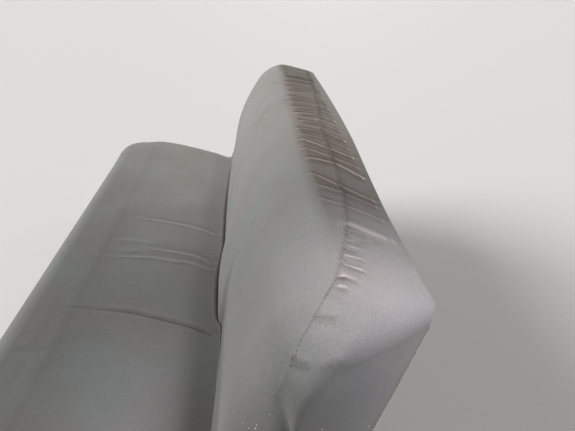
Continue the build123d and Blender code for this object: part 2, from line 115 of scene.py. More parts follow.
class Weaver:
    """Puts together the values and colours of one material."""

    def __init__(self, tree: bpy.types.NodeTree) -> None:
        """Starts with the object coordinates.

        Args:
            tree: the material's node tree.
        """
        self.tree = tree
        self.place = add_node(tree, "ShaderNodeTexCoord").outputs["Object"]
        self.axes = add_node(tree, "ShaderNodeSeparateXYZ", inputs={0: self.place}).outputs

    def spots(self, size_mm: float, stretch: tuple, turn: tuple = (0, 0, 0)) -> bpy.types.NodeSocket:
        """Coordinates in patches of a real size.

        Args:
            size_mm: size of a patch.
            stretch: how much longer a patch is along each axis.
            turn: how the pattern is turned, in radians.

        Returns:
            The coordinates, one unit a patch.
        """
        return add_node(self.tree, "ShaderNodeMapping", inputs={
            "Vector": self.place, "Scale": [1 / (size_mm * MM * s) for s in stretch], "Rotation": turn,
        }).outputs[0]

    def noise(self, size_mm: float, stretch: tuple = (1, 1, 1), detail: float = 3,
              swirl: float = 0) -> bpy.types.NodeSocket:
        """A noise in patches of a real size.

        Args:
            size_mm: size of a patch.
            stretch: how much longer a patch is along each axis.
            detail: octaves.
            swirl: how much it is distorted.

        Returns:
            Values round about a half.
        """
        return add_node(self.tree, "ShaderNodeTexNoise", inputs={
            "Vector": self.spots(size_mm, stretch), "Scale": 1.0, "Detail": detail,
            "Distortion": swirl,
        }).outputs["Fac"]

    def ramp(self, value: bpy.types.NodeSocket, low: float, high: float, to_low: float = 0,
             to_high: float = 1) -> bpy.types.NodeSocket:
        """Maps a value from one range to another, smoothly and held at both ends.

        Args:
            value: what is mapped.
            low: start of its range.
            high: end of its range.
            to_low: what low becomes.
            to_high: what high becomes.

        Returns:
            The mapped value.
        """
        return add_node(self.tree, "ShaderNodeMapRange", {"interpolation_type": "SMOOTHSTEP"}, {
            "Value": value, "From Min": low, "From Max": high, "To Min": to_low, "To Max": to_high,
        }).outputs["Result"]

    def sums(self, operation: str, *values: bpy.types.NodeSocket | float) -> bpy.types.NodeSocket:
        """One step of arithmetic.

        Args:
            operation: the node's operation.
            values: its one to three inputs.

        Returns:
            The result.
        """
        return add_node(self.tree, "ShaderNodeMath", {"operation": operation},
                        dict(enumerate(values))).outputs[0]

    def mixed(self, share: bpy.types.NodeSocket | float, first: bpy.types.NodeSocket | str,
              second: bpy.types.NodeSocket | str) -> bpy.types.NodeSocket:
        """Mixes two colours, each a socket or an sRGB hex colour.

        Args:
            share: how much of the second.
            first: the first colour.
            second: the second colour.

        Returns:
            The mixed colour.
        """
        pair = (linear(c) if isinstance(c, str) else c for c in (first, second))
        return add_node(self.tree, "ShaderNodeMix", {"data_type": "RGBA"}, {
            0: share, **dict(zip((6, 7), pair)),
        }).outputs[2]

    def bumped(self, height: bpy.types.NodeSocket, depth_mm: float,
               under: bpy.types.NodeSocket | None = None) -> bpy.types.NodeSocket:
        """A bump of a real depth.

        Args:
            height: from 0 to 1.
            depth_mm: the height of 1.
            under: a bump that this one lies on.

        Returns:
            The bent normal.
        """
        inputs = {"Height": height, "Distance": depth_mm * MM, "Strength": 1.0}
        if under is not None:
            inputs["Normal"] = under
        return add_node(self.tree, "ShaderNodeBump", inputs=inputs).outputs[0]

    def specks(self, size_mm: float, stretch: tuple, reach: bpy.types.NodeSocket | float,
               rarity: bpy.types.NodeSocket | float) -> bpy.types.NodeSocket:
        """Scattered specks.

        Args:
            size_mm: the spacing of the places where a speck may be.
            stretch: how much longer a speck is along each axis.
            reach: a speck's radius as a share of the spacing.
            rarity: the share of places left empty.

        Returns:
            1 on a speck and 0 elsewhere.
        """
        cells = add_node(self.tree, "ShaderNodeTexVoronoi", inputs={
            "Vector": self.spots(size_mm, stretch, (0.4, 0.2, 0.7)), "Scale": 1.0})
        pick = add_node(self.tree, "ShaderNodeSeparateColor",
                        inputs={0: cells.outputs["Color"]}).outputs
        near = self.sums("LESS_THAN", cells.outputs["Distance"],
                         self.sums("MULTIPLY", pick[0], reach))
        return self.sums("MULTIPLY", near, self.sums("GREATER_THAN", pick[1], rarity))


@dataclass(frozen=True)
class Finish:
    """A surface finish. Each kind fills in sockets()."""

    name: str

    def sockets(self, weave: Weaver) -> dict:
        """The shader's sockets.

        Args:
            weave: what puts the material together.

        Returns:
            Values or sockets by the input's name.
        """
        raise NotImplementedError

    def material(self) -> bpy.types.Material:
        """Makes the material once and hands out the same one after that.

        Returns:
            The material.
        """
        known = bpy.data.materials.get(self.name)
        if known:
            return known
        made = bpy.data.materials.new(self.name)
        made.use_nodes = True
        tree = made.node_tree
        tree.nodes.clear()
        shader = add_node(tree, "ShaderNodeBsdfPrincipled", inputs=self.sockets(Weaver(tree)))
        add_node(tree, "ShaderNodeOutputMaterial", inputs={"Surface": shader.outputs["BSDF"]})
        return made


@dataclass(frozen=True)
class KnitCover(Finish):
    """Stretch polyester knit, brushed: matt, with painted shade in its creases and a painted highlight on
    its folds.

    The top band is painted darker and browner, as shade from above, and the backrest's foot and the low
    near end are painted darker, as shade. Pale lint sits on the cloth.
    """

    cloth: str = "#606464"
    cloth_warm: str = "#636260"
    cloth_dull: str = "#5b5d5c"
    # Painted shade on the top band, in the creases, and at the backrest's foot and low on the near end; a
    # painted highlight on the ridges
    painted_band_shade: str = "#453b35"
    painted_crease_shade: str = "#38312d"
    painted_shade: str = "#4a4949"
    painted_ridge_highlight: str = "#b6afa7"
    lint: str = "#b2ada6"
    sheen: str = "#d9d9d8"
    rib_mm: float = 1.3
    patch_mm: float = 170.0
    # Where each begins and is full, in metres or, for the fold's rise, in mm. All but lint place painted
    # shade, and on the ridges a painted highlight
    band_x: tuple[float, float] = (0.62, 0.3)
    band_y: tuple[float, float] = (0.234, 0.262)
    band_z: tuple[float, float] = (0.585, 0.635)
    foot_y: tuple[float, float] = (-0.12, 0.05)
    foot_z: tuple[float, float] = (0.36, 0.32)
    end_x: tuple[float, float] = (0.64, 0.69)
    end_z: tuple[float, float] = (0.6, 0.53)
    lint_x: tuple[float, float] = (0.60, 0.69)
    lint_z: tuple[float, float] = (0.62, 0.52)
    crease_mm: tuple[float, float] = (-0.4, -2.8)
    ridge_mm: tuple[float, float] = (0.9, 4.6)

    def lint_on(self, weave: Weaver) -> bpy.types.NodeSocket:
        """Where lint sits: thinly all over, thickly low on the ends.

        Args:
            weave: what puts the material together.

        Returns:
            1 on a speck and 0 elsewhere.
        """
        at_end = weave.ramp(weave.sums("ABSOLUTE", weave.axes["X"]), *self.lint_x)
        low = weave.ramp(weave.axes["Z"], *self.lint_z)
        drift = weave.ramp(weave.noise(60, detail=2), 0.42, 0.66)
        crowd = weave.sums("MULTIPLY", weave.sums("MULTIPLY", at_end, low), drift)
        rarity = weave.sums("MULTIPLY_ADD", crowd, -0.55, 0.85)
        fluff = weave.specks(9, (1, 1, 1), weave.sums("MULTIPLY_ADD", crowd, 0.12, 0.05), rarity)
        fibres = weave.specks(6, (1, 2.6, 1.4), weave.sums("MULTIPLY_ADD", crowd, 0.13, 0.025), rarity)
        return weave.sums("MAXIMUM", fluff, fibres)

    def dyed_and_shaded(self, weave: Weaver, drift: bpy.types.NodeSocket) -> bpy.types.NodeSocket:
        """The cloth's colour, with painted shade: darker and browner on the top band, darker at the
        backrest's foot and low on the near end.

        Args:
            weave: what puts the material together.
            drift: a slow drift from 0 to 1.

        Returns:
            The colour.
        """
        worn = weave.ramp(weave.noise(self.patch_mm * 0.35, detail=4), 0.4, 0.75, 0, 0.5)
        colour = weave.mixed(drift, self.cloth, self.cloth_warm)
        colour = weave.mixed(worn, colour, self.cloth_dull)
        # Painted shade: the top band darker and browner
        band_shade_share = weave.sums("MULTIPLY", weave.ramp(weave.axes["Z"], *self.band_z, 0, 0.8),
                            weave.ramp(weave.axes["Y"], *self.band_y))
        band_shade_share = weave.sums("MULTIPLY", band_shade_share, weave.ramp(weave.axes["X"], *self.band_x, 0.1, 1))
        colour = weave.mixed(band_shade_share, colour, self.painted_band_shade)
        # Painted shade: darker at the backrest's foot and low on the near end
        shaded = weave.sums("MULTIPLY", weave.ramp(weave.axes["Y"], *self.foot_y, 0, 0.5),
                            weave.ramp(weave.axes["Z"], *self.foot_z))
        low_end = weave.sums("MULTIPLY", weave.ramp(weave.axes["X"], *self.end_x, 0, 0.4),
                             weave.ramp(weave.axes["Z"], *self.end_z))
        return weave.mixed(weave.sums("MAXIMUM", shaded, low_end), colour, self.painted_shade)

    def ribs(self, weave: Weaver) -> bpy.types.NodeSocket:
        """The knit's wales and courses.

        Args:
            weave: what puts the material together.

        Returns:
            Heights from 0 to 1.
        """
        turn = 2 * math.pi / (self.rib_mm * MM)
        down = weave.sums("ADD", weave.axes["Y"], weave.axes["Z"])
        wales = weave.sums("SINE", weave.sums("MULTIPLY", weave.axes["X"], turn))
        courses = weave.sums("SINE", weave.sums("MULTIPLY", down, 0.8 * turn))
        return weave.sums("MULTIPLY_ADD", weave.sums("MULTIPLY", wales, courses), 0.5, 0.5)

    def sockets(self, weave: Weaver) -> dict:
        """Cloth with painted shade, more painted shade in its creases and a painted highlight on its
        folds, with ribs, lint and a sheen.

        Args:
            weave: what puts the material together.

        Returns:
            Values or sockets by the input's name.
        """
        drift = weave.ramp(weave.noise(self.patch_mm, detail=1), 0.25, 0.75)
        colour = self.dyed_and_shaded(weave, drift)
        fold = add_node(weave.tree, "ShaderNodeAttribute", {"attribute_name": "fold"}).outputs["Fac"]
        # Painted shade in the creases and a painted highlight on the ridges, by the fold's rise
        colour = weave.mixed(weave.ramp(fold, *self.crease_mm, 0, 0.65), colour, self.painted_crease_shade)
        colour = weave.mixed(weave.ramp(fold, *self.ridge_mm, 0, 0.8), colour, self.painted_ridge_highlight)
        fuzz = weave.ramp(weave.noise(2.2, detail=4), 0.3, 0.7, 0, 0.08)
        colour = weave.mixed(fuzz, colour, self.lint)
        lint = self.lint_on(weave)
        colour = weave.mixed(weave.sums("MULTIPLY", lint, 0.75), colour, self.lint)
        slack = weave.bumped(weave.noise(26, (1, 1.7, 1.7), swirl=0.6), 0.7)
        normal = weave.bumped(lint, 0.2, weave.bumped(self.ribs(weave), 0.05, slack))
        return {
            "Base Color": colour, "Normal": normal, "Roughness": weave.ramp(drift, 0, 1, 0.74, 0.84),
            "Specular IOR Level": 0.25, "Sheen Weight": 0.2, "Sheen Roughness": 0.42,
            "Sheen Tint": linear(self.sheen),
        }


@dataclass(frozen=True)
class JuteWeave(Finish):
    """Jute hessian: coarse brown yarn in a plain weave, with gaps at its corners."""

    light: str = "#a58d66"
    dark: str = "#6f5a3c"
    gap: str = "#2d2419"
    yarn_mm: float = 2.6

    def sockets(self, weave: Weaver) -> dict:
        """Yarns that run over and under each other along X and Y.

        Args:
            weave: what puts the material together.

        Returns:
            Values or sockets by the input's name.
        """
        turn = math.pi / (self.yarn_mm * MM)
        across, along = (weave.sums("SINE", weave.sums("MULTIPLY", weave.axes[a], turn)) for a in "XY")
        over = weave.sums("MULTIPLY_ADD", weave.sums("MULTIPLY", across, along), 0.5, 0.5)
        corner = weave.sums("MINIMUM", weave.sums("ABSOLUTE", across), weave.sums("ABSOLUTE", along))
        solid = weave.ramp(corner, 0.05, 0.35)
        slubs = weave.sums("ADD", weave.noise(1.8, (14, 1, 1)), weave.noise(1.8, (1, 14, 1)))
        colour = weave.mixed(weave.ramp(slubs, 0.7, 1.3), self.dark, self.light)
        return {
            "Base Color": weave.mixed(solid, self.gap, colour), "Roughness": 0.9,
            "Specular IOR Level": 0.2, "Normal": weave.bumped(weave.sums("MULTIPLY", over, solid), 0.7),
        }


@dataclass(frozen=True)
class PlatedSteel(Finish):
    """Pressed steel, zinc plated: dull, drawn grain, old grease in patches, bright rubbed edges."""

    coat: str = "#a8a69d"
    shade: str = "#8b8981"
    bare: str = "#c2beb4"
    grime: str = "#2b2621"
    metallic: float = 0.85
    smooth: float = 0.42
    rough: float = 0.62
    grain: tuple[float, float, float] = (1, 9, 1)
    grime_share: float = 0.55
    edge_mm: float = 1.2
    wear: float = 0.6

    def edges(self, weave: Weaver) -> bpy.types.NodeSocket:
        """Where an edge has rubbed.

        Args:
            weave: what puts the material together.

        Returns:
            1 on a worn edge and 0 elsewhere.
        """
        rounded = add_node(weave.tree, "ShaderNodeBevel", {"samples": 4},
                           {"Radius": self.edge_mm * MM})
        flat = add_node(weave.tree, "ShaderNodeNewGeometry")
        turn = add_node(weave.tree, "ShaderNodeVectorMath", {"operation": "DOT_PRODUCT"}, {
            0: rounded.outputs[0], 1: flat.outputs["True Normal"]})
        edge = weave.ramp(turn.outputs["Value"], 0.985, 0.90)
        return weave.sums("MULTIPLY", edge, weave.ramp(weave.noise(9), 0.38, 0.62))

    def sockets(self, weave: Weaver) -> dict:
        """A coat with grain, grime in patches and worn edges.

        Args:
            weave: what puts the material together.

        Returns:
            Values or sockets by the input's name.
        """
        drawn = weave.noise(2.5, self.grain, detail=4)
        cloud = weave.noise(45, detail=5, swirl=0.4)
        colour = weave.mixed(weave.ramp(drawn, 0.3, 0.7), self.coat, self.shade)
        colour = weave.mixed(weave.ramp(cloud, 0.52, 0.74, 0, self.grime_share), colour, self.grime)
        colour = weave.mixed(weave.sums("MULTIPLY", self.edges(weave), self.wear), colour, self.bare)
        rough = weave.ramp(weave.sums("MAXIMUM", drawn, cloud), 0.35, 0.75, self.smooth, self.rough)
        return {
            "Base Color": colour, "Metallic": self.metallic, "Roughness": rough,
            "Normal": weave.bumped(drawn, 0.03, weave.bumped(cloud, 0.15)),
        }


@dataclass(frozen=True)
class SatinPaint(PlatedSteel):
    """Satin black chassis enamel, sprayed: faint peel, grey dust on it, steel on rubbed edges."""

    coat: str = "#26272a"
    shade: str = "#1d1e20"
    bare: str = "#8d867b"
    grime: str = "#57504a"
    metallic: float = 0.0
    smooth: float = 0.36
    rough: float = 0.55
    grain: tuple[float, float, float] = (1, 1, 1)
    grime_share: float = 0.45
    wear: float = 0.45


@dataclass(frozen=True)
class SpringWire(PlatedSteel):
    """Oil tempered wire, drawn: dark brown grey with rust freckles."""

    coat: str = "#6b655d"
    shade: str = "#4c463f"
    bare: str = "#8a8278"
    grime: str = "#6a3b22"
    metallic: float = 0.75
    smooth: float = 0.38
    rough: float = 0.6
    grain: tuple[float, float, float] = (2, 2, 2)
    grime_share: float = 0.7
    wear: float = 0.2


@dataclass(frozen=True)
class MouldedKnob(Finish):
    """Phenolic moulding, polished in its mould: black, glossy, dulled by fine scratches."""

    black: str = "#17171a"
    dust: str = "#4a4744"

    def sockets(self, weave: Weaver) -> dict:
        """Black with a thin film of dust and fine scratches.

        Args:
            weave: what puts the material together.

        Returns:
            Values or sockets by the input's name.
        """
        film = weave.ramp(weave.noise(7, detail=5), 0.5, 0.8, 0, 0.5)
        return {
            "Base Color": weave.mixed(film, self.black, self.dust), "IOR": 1.6,
            "Roughness": weave.ramp(film, 0, 0.5, 0.22, 0.5),
            "Normal": weave.bumped(weave.noise(0.5, (1, 16, 1), detail=2), 0.015),
        }


@dataclass(frozen=True)
class SewingThread(Finish):
    """Spun polyester thread, twisted: charcoal, fuzzy and dusty."""

    dark: str = "#35322f"
    light: str = "#6e6963"

    def sockets(self, weave: Weaver) -> dict:
        """Two greys in short runs.

        Args:
            weave: what puts the material together.

        Returns:
            Values or sockets by the input's name.
        """
        twist = weave.noise(1.2, detail=2)
        share = weave.sums("MULTIPLY_ADD", twist, 0.5, weave.ramp(weave.noise(24), 0.4, 0.7, 0, 0.4))
        return {
            "Base Color": weave.mixed(share, self.dark, self.light),
            "Roughness": 0.85, "Sheen Weight": 0.3, "Normal": weave.bumped(twist, 0.2),
        }


@dataclass(frozen=True)
class StudioFloor(Finish):
    """Matt floor paint, rolled: pale and even."""

    pale: str = "#ecebe9"
    shade: str = "#e8e7e5"

    def sockets(self, weave: Weaver) -> dict:
        """Pale paint with a breath of grain.

        Args:
            weave: what puts the material together.

        Returns:
            Values or sockets by the input's name.
        """
        uneven = weave.ramp(weave.noise(4, detail=2), 0.3, 0.7)
        return {"Base Color": weave.mixed(uneven, self.pale, self.shade),
                "Roughness": 0.8, "Specular IOR Level": 0.2}


COVER = KnitCover("stretch_knit_cover")
JUTE = JuteWeave("jute_hessian")
ZINC = PlatedSteel("zinc_plated_steel")
ENAMEL = SatinPaint("satin_black_enamel")
WIRE = SpringWire("oil_tempered_wire")
PHENOLIC = MouldedKnob("phenolic_knob")
THREAD = SewingThread("polyester_thread")
SLOT_FINISHES = {
    "cover_cloth": COVER, "deck_cloth": JUTE, "frame_paint": ENAMEL, "rail_steel": ZINC,
    "spring_wire": WIRE, "knob_plastic": PHENOLIC,
}


def choose(*objects: bpy.types.Object) -> None:
    """Leaves edit mode and selects these objects alone, the first one active.

    Args:
        objects: what is selected.
    """
    if bpy.context.object and bpy.context.object.mode != "OBJECT":
        bpy.ops.object.mode_set(mode="OBJECT")
    bpy.ops.object.select_all(action="DESELECT")
    for item in objects:
        item.select_set(True)
    bpy.context.view_layer.objects.active = objects[0] if objects else None


def settle(item: bpy.types.Object) -> None:
    """Applies the object's modifiers, and puts its place, turn and size into its mesh.

    Args:
        item: the object.
    """
    choose(item)
    for modifier in list(item.modifiers):
        bpy.ops.object.modifier_apply(modifier=modifier.name)
    bpy.ops.object.transform_apply(location=True, rotation=True, scale=True)


def joined(name: str, items: list[bpy.types.Object]) -> bpy.types.Object:
    """Joins objects into one.

    Args:
        name: the piece's name.
        items: the objects, settled.

    Returns:
        The piece.
    """
    choose(*items)
    if len(items) > 1:
        bpy.ops.object.join()
    items[0].name = items[0].data.name = name
    return items[0]


def smoothed(item: bpy.types.Object, degrees: float) -> None:
    """Settles the object and shades it smooth, apart from edges sharper than the angle."""
    settle(item)
    bpy.ops.object.shade_smooth_by_angle(angle=math.radians(degrees))


def add_bevel(item: bpy.types.Object, width_mm: float, segments: int, degrees: float) -> None:
    """Adds a modifier that rounds the object's sharp edges.

    Args:
        item: the object.
        width_mm: how wide the rounding is.
        segments: how many faces it has.
        degrees: the angle between two faces from which an edge is sharp.
    """
    edge = item.modifiers.new("edge", "BEVEL")
    edge.width, edge.segments = width_mm * MM, segments
    edge.limit_method, edge.angle_limit = "ANGLE", math.radians(degrees)


def linked(item: bpy.types.Object) -> bpy.types.Object:
    """Adds the object to the scene and hands it back."""
    bpy.context.scene.collection.objects.link(item)
    return item


def copies(model: bpy.types.Object, moves: list[Matrix]) -> list[bpy.types.Object]:
    """Copies a model to each place, each copy with its own mesh, and removes the model.

    Args:
        model: the model, settled.
        moves: where each copy goes.

    Returns:
        The copies.
    """
    made = []
    for move in moves:
        copy = model.copy()
        copy.data = model.data.copy()
        copy.data.transform(move)
        made.append(linked(copy))
    bpy.data.objects.remove(model)
    return made


def mesh_object(name: str, points: np.ndarray, faces: list) -> bpy.types.Object:
    """Makes an object of points in mm.

    Args:
        name: the piece's name.
        points: one row a point.
        faces: point numbers of each face.

    Returns:
        The object, linked to the scene.
    """
    mesh = bpy.data.meshes.new(name)
    mesh.from_pydata((points * MM).tolist(), [], faces)
    return linked(bpy.data.objects.new(name, mesh))


def shade_smooth(mesh: bpy.types.Mesh) -> None:
    """Shades every face of the mesh smooth."""
    mesh.polygons.foreach_set("use_smooth", [True] * len(mesh.polygons))


def points_of(mesh: bpy.types.Mesh, what: str = "co") -> np.ndarray:
    """The mesh's points in mm, or their normals.

    Args:
        mesh: the mesh.
        what: co or normal.

    Returns:
        One row a point.
    """
    flat = np.empty(len(mesh.vertices) * 3, np.float32)
    mesh.vertices.foreach_get(what, flat)
    return flat.reshape(-1, 3).astype(float) / (MM if what == "co" else 1)


def move_points(mesh: bpy.types.Mesh, points: np.ndarray) -> None:
    """Writes new places into the mesh.

    Args:
        mesh: the mesh.
        points: one row a point, in mm.
    """
    mesh.vertices.foreach_set("co", (points * MM).astype(np.float32).ravel())
    mesh.update()


def dressed(item: bpy.types.Object, finish: Finish, body: Body, slot: str,
            *nodes: str) -> bpy.types.Object:
    """Gives a piece its finish and its body, and hides the nodes that it stands for.

    Args:
        item: the piece.
        finish: its finish.
        body: the body that it rides on.
        slot: the record's material slot; not used.
        nodes: the nodes that it replaces.

    Returns:
        The piece.
    """
    item.data.materials.clear()
    item.data.materials.append(finish.material())
    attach(item, body.value)
    if nodes:
        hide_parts(*nodes)
    LOG.info("%s: %d faces", item.name, len(item.data.polygons))
    return item


def smoothstep(value: np.ndarray | float, low: float, high: float) -> np.ndarray:
    """Rises smoothly from 0 at low to 1 at high.

    Args:
        value: any numbers.
        low: where it starts.
        high: where it ends.

    Returns:
        Numbers from 0 to 1.
    """
    share = np.clip((np.asarray(value, float) - low) / (high - low), 0, 1)
    return share * share * (3 - 2 * share)


def arc_through(start: tuple, middle: tuple, end: tuple, count: int) -> np.ndarray:
    """Points along the arc through three points.

    Args:
        start: its first point.
        middle: a point on it.
        end: its last point.
        count: how many points, the ends included.

    Returns:
        One row a point.
    """
    a, b, c = (complex(*p) for p in (start, middle, end))
    ratio = (c - a) / (b - a)
    centre = a + (b - a) * (ratio - abs(ratio) ** 2) / (ratio - ratio.conjugate())
    first = np.angle(a - centre)
    turn = np.angle((c - centre) / (a - centre))
    through = np.angle((b - centre) / (a - centre))
    if turn * through < 0 or abs(through) > abs(turn):
        turn -= math.copysign(2 * math.pi, turn)
    spots = centre + abs(a - centre) * np.exp(1j * (first + turn * np.linspace(0, 1, count)))
    return np.stack([spots.real, spots.imag], 1)


def through_points(points: tuple, step: float) -> np.ndarray:
    """A smooth line through points.

    Args:
        points: the points that it passes, of any dimension.
        step: the spacing along it, about.

    Returns:
        One row a point.
    """
    spots = np.asarray(points, float)
    padded = np.vstack([2 * spots[0] - spots[1], spots, 2 * spots[-1] - spots[-2]])
    rows = []
    for i in range(1, len(padded) - 2):
        p0, p1, p2, p3 = padded[i - 1:i + 3]
        count = max(2, int(np.linalg.norm(p2 - p1) / step))
        t = np.arange(count)[:, None] / count
        rows.append(0.5 * (2 * p1 + (p2 - p0) * t + (2 * p0 - 5 * p1 + 4 * p2 - p3) * t ** 2
                           + (3 * p1 - p0 - 3 * p2 + p3) * t ** 3))
    return np.vstack([*rows, spots[-1:]])


def lengths_along(line: np.ndarray) -> np.ndarray:
    """How far each of a line's points lies from its start, along the line."""
    return np.concatenate([[0], np.cumsum(np.linalg.norm(np.diff(line, axis=0), axis=1))])


def bow(y: np.ndarray | float, rise: float) -> np.ndarray:
    """Height of the deck's bow at y, in mm.

    Args:
        y: places along the depth.
        rise: the bow's height in its middle.

    Returns:
        Heights over its ends.
    """
    t = np.clip((np.asarray(y) - DECK_FRONT_MM) / DECK_RUN_MM, 0, 1)
    return 4 * rise * t * (1 - t)


@dataclass(frozen=True)
class Fold:
    """A pulled fold: a thin ridge with a shallow valley beside it, fading at both ends.

    The last end fades over the same share of its length as the first, unless last_fade says less.
    """

    points: tuple
    height: float = 2.2
    width: float = 4.0
    valley: float = 0.6
    side: Side = Side.LEFT
    fade: float = 0.25
    last_fade: float = 1.0
    least_fade_mm: ClassVar[float] = 8.0

    def span(self) -> float:
        """How far beside its line it reaches, in mm."""
        return 6 * self.width

    def shape(self, off: np.ndarray, along: np.ndarray, length: float) -> np.ndarray:
        """How far the cloth stands out.

        Args:
            off: distance from the line, with its side's sign, in mm.
            along: share of the line's length, from 0 to 1.
            length: that length in mm.

        Returns:
            Heights in mm.
        """
        ridge = np.exp(-(off / self.width) ** 2)
        beside = (off - self.side.value * 2.3 * self.width) / (1.7 * self.width)
        ends = self.fade, min(self.fade, self.last_fade)
        first, last = (max(share, self.least_fade_mm / length) for share in ends)
        taper = smoothstep(along, 0, first) * smoothstep(1 - along, 0, last)
        return self.height * taper * (ridge - self.valley * np.exp(-beside ** 2))


@dataclass(frozen=True)
class Seam:
    """A sewn line in a groove, which gathers the cloth on one side."""

    points: tuple
    depth: float = 3.4
    width: float = 3.4
    pucker: float = 1.2
    reach: float = 14.0
    pitch: float = 13.0
    side: Side = Side.LEFT

    def span(self) -> float:
        """How far beside its line it reaches, in mm."""
        return 4 * self.reach

    def shape(self, off: np.ndarray, along: np.ndarray, length: float) -> np.ndarray:
        """How far the cloth stands out.

        Args:
            off: distance from the line, with its side's sign, in mm.
            along: share of the line's length, from 0 to 1.
            length: that length in mm.

        Returns:
            Heights in mm.
        """
        turns = 2 * math.pi * along * length / self.pitch
        sides = np.sign(off)
        wave = (np.cos(turns + sides) + 0.7 * np.cos(turns / 1.63 + 2.1 + 2 * sides)
                + 0.5 * np.cos(turns / 3.1 + sides))
        groove = np.exp(-(off / self.width) ** 2)
        ends = smoothstep(along, 0, 0.04) * smoothstep(1 - along, 0, 0.04)
        near = np.exp(-np.abs(off) / self.reach) * (1 - groove)
        near *= off * self.side.value > 0
        return ends * (self.pucker * wave * near - self.depth * groove)


def beside_line(line: np.ndarray, spots: np.ndarray, normals: np.ndarray,
                reach: float) -> tuple[np.ndarray, np.ndarray, np.ndarray, float]:
    """Distance and place of points beside a line.

    Args:
        line: the line's points in mm.
        spots: the points in mm.
        normals: the surface's normals there.
        reach: how far from the line counts.

    Returns:
        The numbers of the points in reach, their distances with a side's sign, their
        shares of the line's length, and that length.
    """
    runs = np.linalg.norm(np.diff(line, axis=0), axis=1)
    starts = lengths_along(line)
    near = np.nonzero(((spots > line.min(0) - reach) & (spots < line.max(0) + reach)).all(1))[0]
    p, n = spots[near], normals[near]
    best = np.full(len(p), reach)
    signed, place = np.zeros(len(p)), np.zeros(len(p))
    for i, run in enumerate(runs):
        if run < 1e-6:
            continue
        tangent = (line[i + 1] - line[i]) / run
        t = np.clip((p - line[i]) @ tangent, 0, run)
        gap = p - (line[i] + t[:, None] * tangent)
        distance = np.linalg.norm(gap, axis=1)
        closer = distance < best
        best[closer] = distance[closer]
        sign = np.sign(np.einsum("ij,ij->i", np.cross(n, tangent), gap))
        signed[closer] = (distance * sign)[closer]
        place[closer] = ((starts[i] + t) / starts[-1])[closer]
    close = best < reach
    return near[close], signed[close], place[close], starts[-1]


class SoftCover:
    """A stuffed and covered form: a coarse mesh, inflated as cloth, refined and folded."""

    frames: ClassVar[int] = 20
    pressure: ClassVar[float] = 3.0
    cap_mm: ClassVar[float] = 5.0

    def inflate(self, item: bpy.types.Object, held: np.ndarray) -> None:
        """Simulates the cover under the pressure of its stuffing, with the move capped.

        Args:
            item: the cover.
            held: 1 where the cover is held, 0 where it is free.
        """
        before = points_of(item.data)
        held = np.round(held, 1)
        group = item.vertex_groups.new(name="held")
        for weight in np.unique(held):
            group.add(np.nonzero(held == weight)[0].tolist(), float(weight), "REPLACE")
        cloth = item.modifiers.new("cloth", "CLOTH")
        cloth.settings.quality = 4
        cloth.settings.use_pressure = True
        cloth.settings.uniform_pressure_force = self.pressure
        cloth.settings.vertex_group_mass = "held"
        cloth.settings.effector_weights.gravity = 0
        cloth.point_cache.frame_end = self.frames
        for number in range(1, self.frames + 1):
            bpy.context.scene.frame_set(number)
        settle(item)
        bpy.context.scene.frame_set(1)
        item.vertex_groups.clear()
        move = points_of(item.data) - before
        length = np.maximum(np.linalg.norm(move, axis=1), 1e-6)
        kept = self.cap_mm * np.tanh(length / self.cap_mm) * (1 - held)
        LOG.info("%s: the stuffing moves it %.1f mm at most", item.name, kept.max())
        move_points(item.data, before + move * (kept / length)[:, None])

    def refine(self, item: bpy.types.Object) -> None:
        """Subdivides the cover once.

        Args:
            item: the cover.
        """
        smooth = item.modifiers.new("refine", "SUBSURF")
        smooth.levels = smooth.render_levels = 1
        settle(item)

    def crease(self, item: bpy.types.Object, lines: list[Fold | Seam]) -> None:
        """Raises the folds and sinks the seams along the surface's normals.

        The rise, in mm, is kept as the attribute fold, which the cloth's finish reads to paint shade in
        the creases and a highlight on the ridges.

        Args:
            item: the cover.
            lines: its folds and seams.
        """
        spots, normals = points_of(item.data), points_of(item.data, "normal")
        rise = np.zeros(len(spots))
        tree = surface(item)
        for each in lines:
            line = np.array([tree.find_nearest(p)[0] for p in through_points(each.points, 7)])
            found, off, along, length = beside_line(line, spots, normals, each.span())
            rise[found] += each.shape(off, along, length)
        move_points(item.data, spots + normals * rise[:, None])
        fold = item.data.attributes.new("fold", "FLOAT", "POINT")
        fold.data.foreach_set("value", rise.astype(np.float32))

    def finish(self, item: bpy.types.Object, node: str, fill: float) -> bpy.types.Object:
        """Args:
            item: the cover.
            node: the node that it replaces.
            fill: how full it is, from 0 to 1; not used.

        Returns:
            The finished piece.
        """
        shade_smooth(item.data)
        dressed(item, COVER, Body.SEAT, "cover_cloth", node)
        return item


def surface(item: bpy.types.Object) -> BVHTree:
    """A search tree of the object's surface, in mm.

    Args:
        item: the object.

    Returns:
        The tree.
    """
    return BVHTree.FromPolygons(points_of(item.data).tolist(),
                                [p.vertices[:] for p in item.data.polygons])


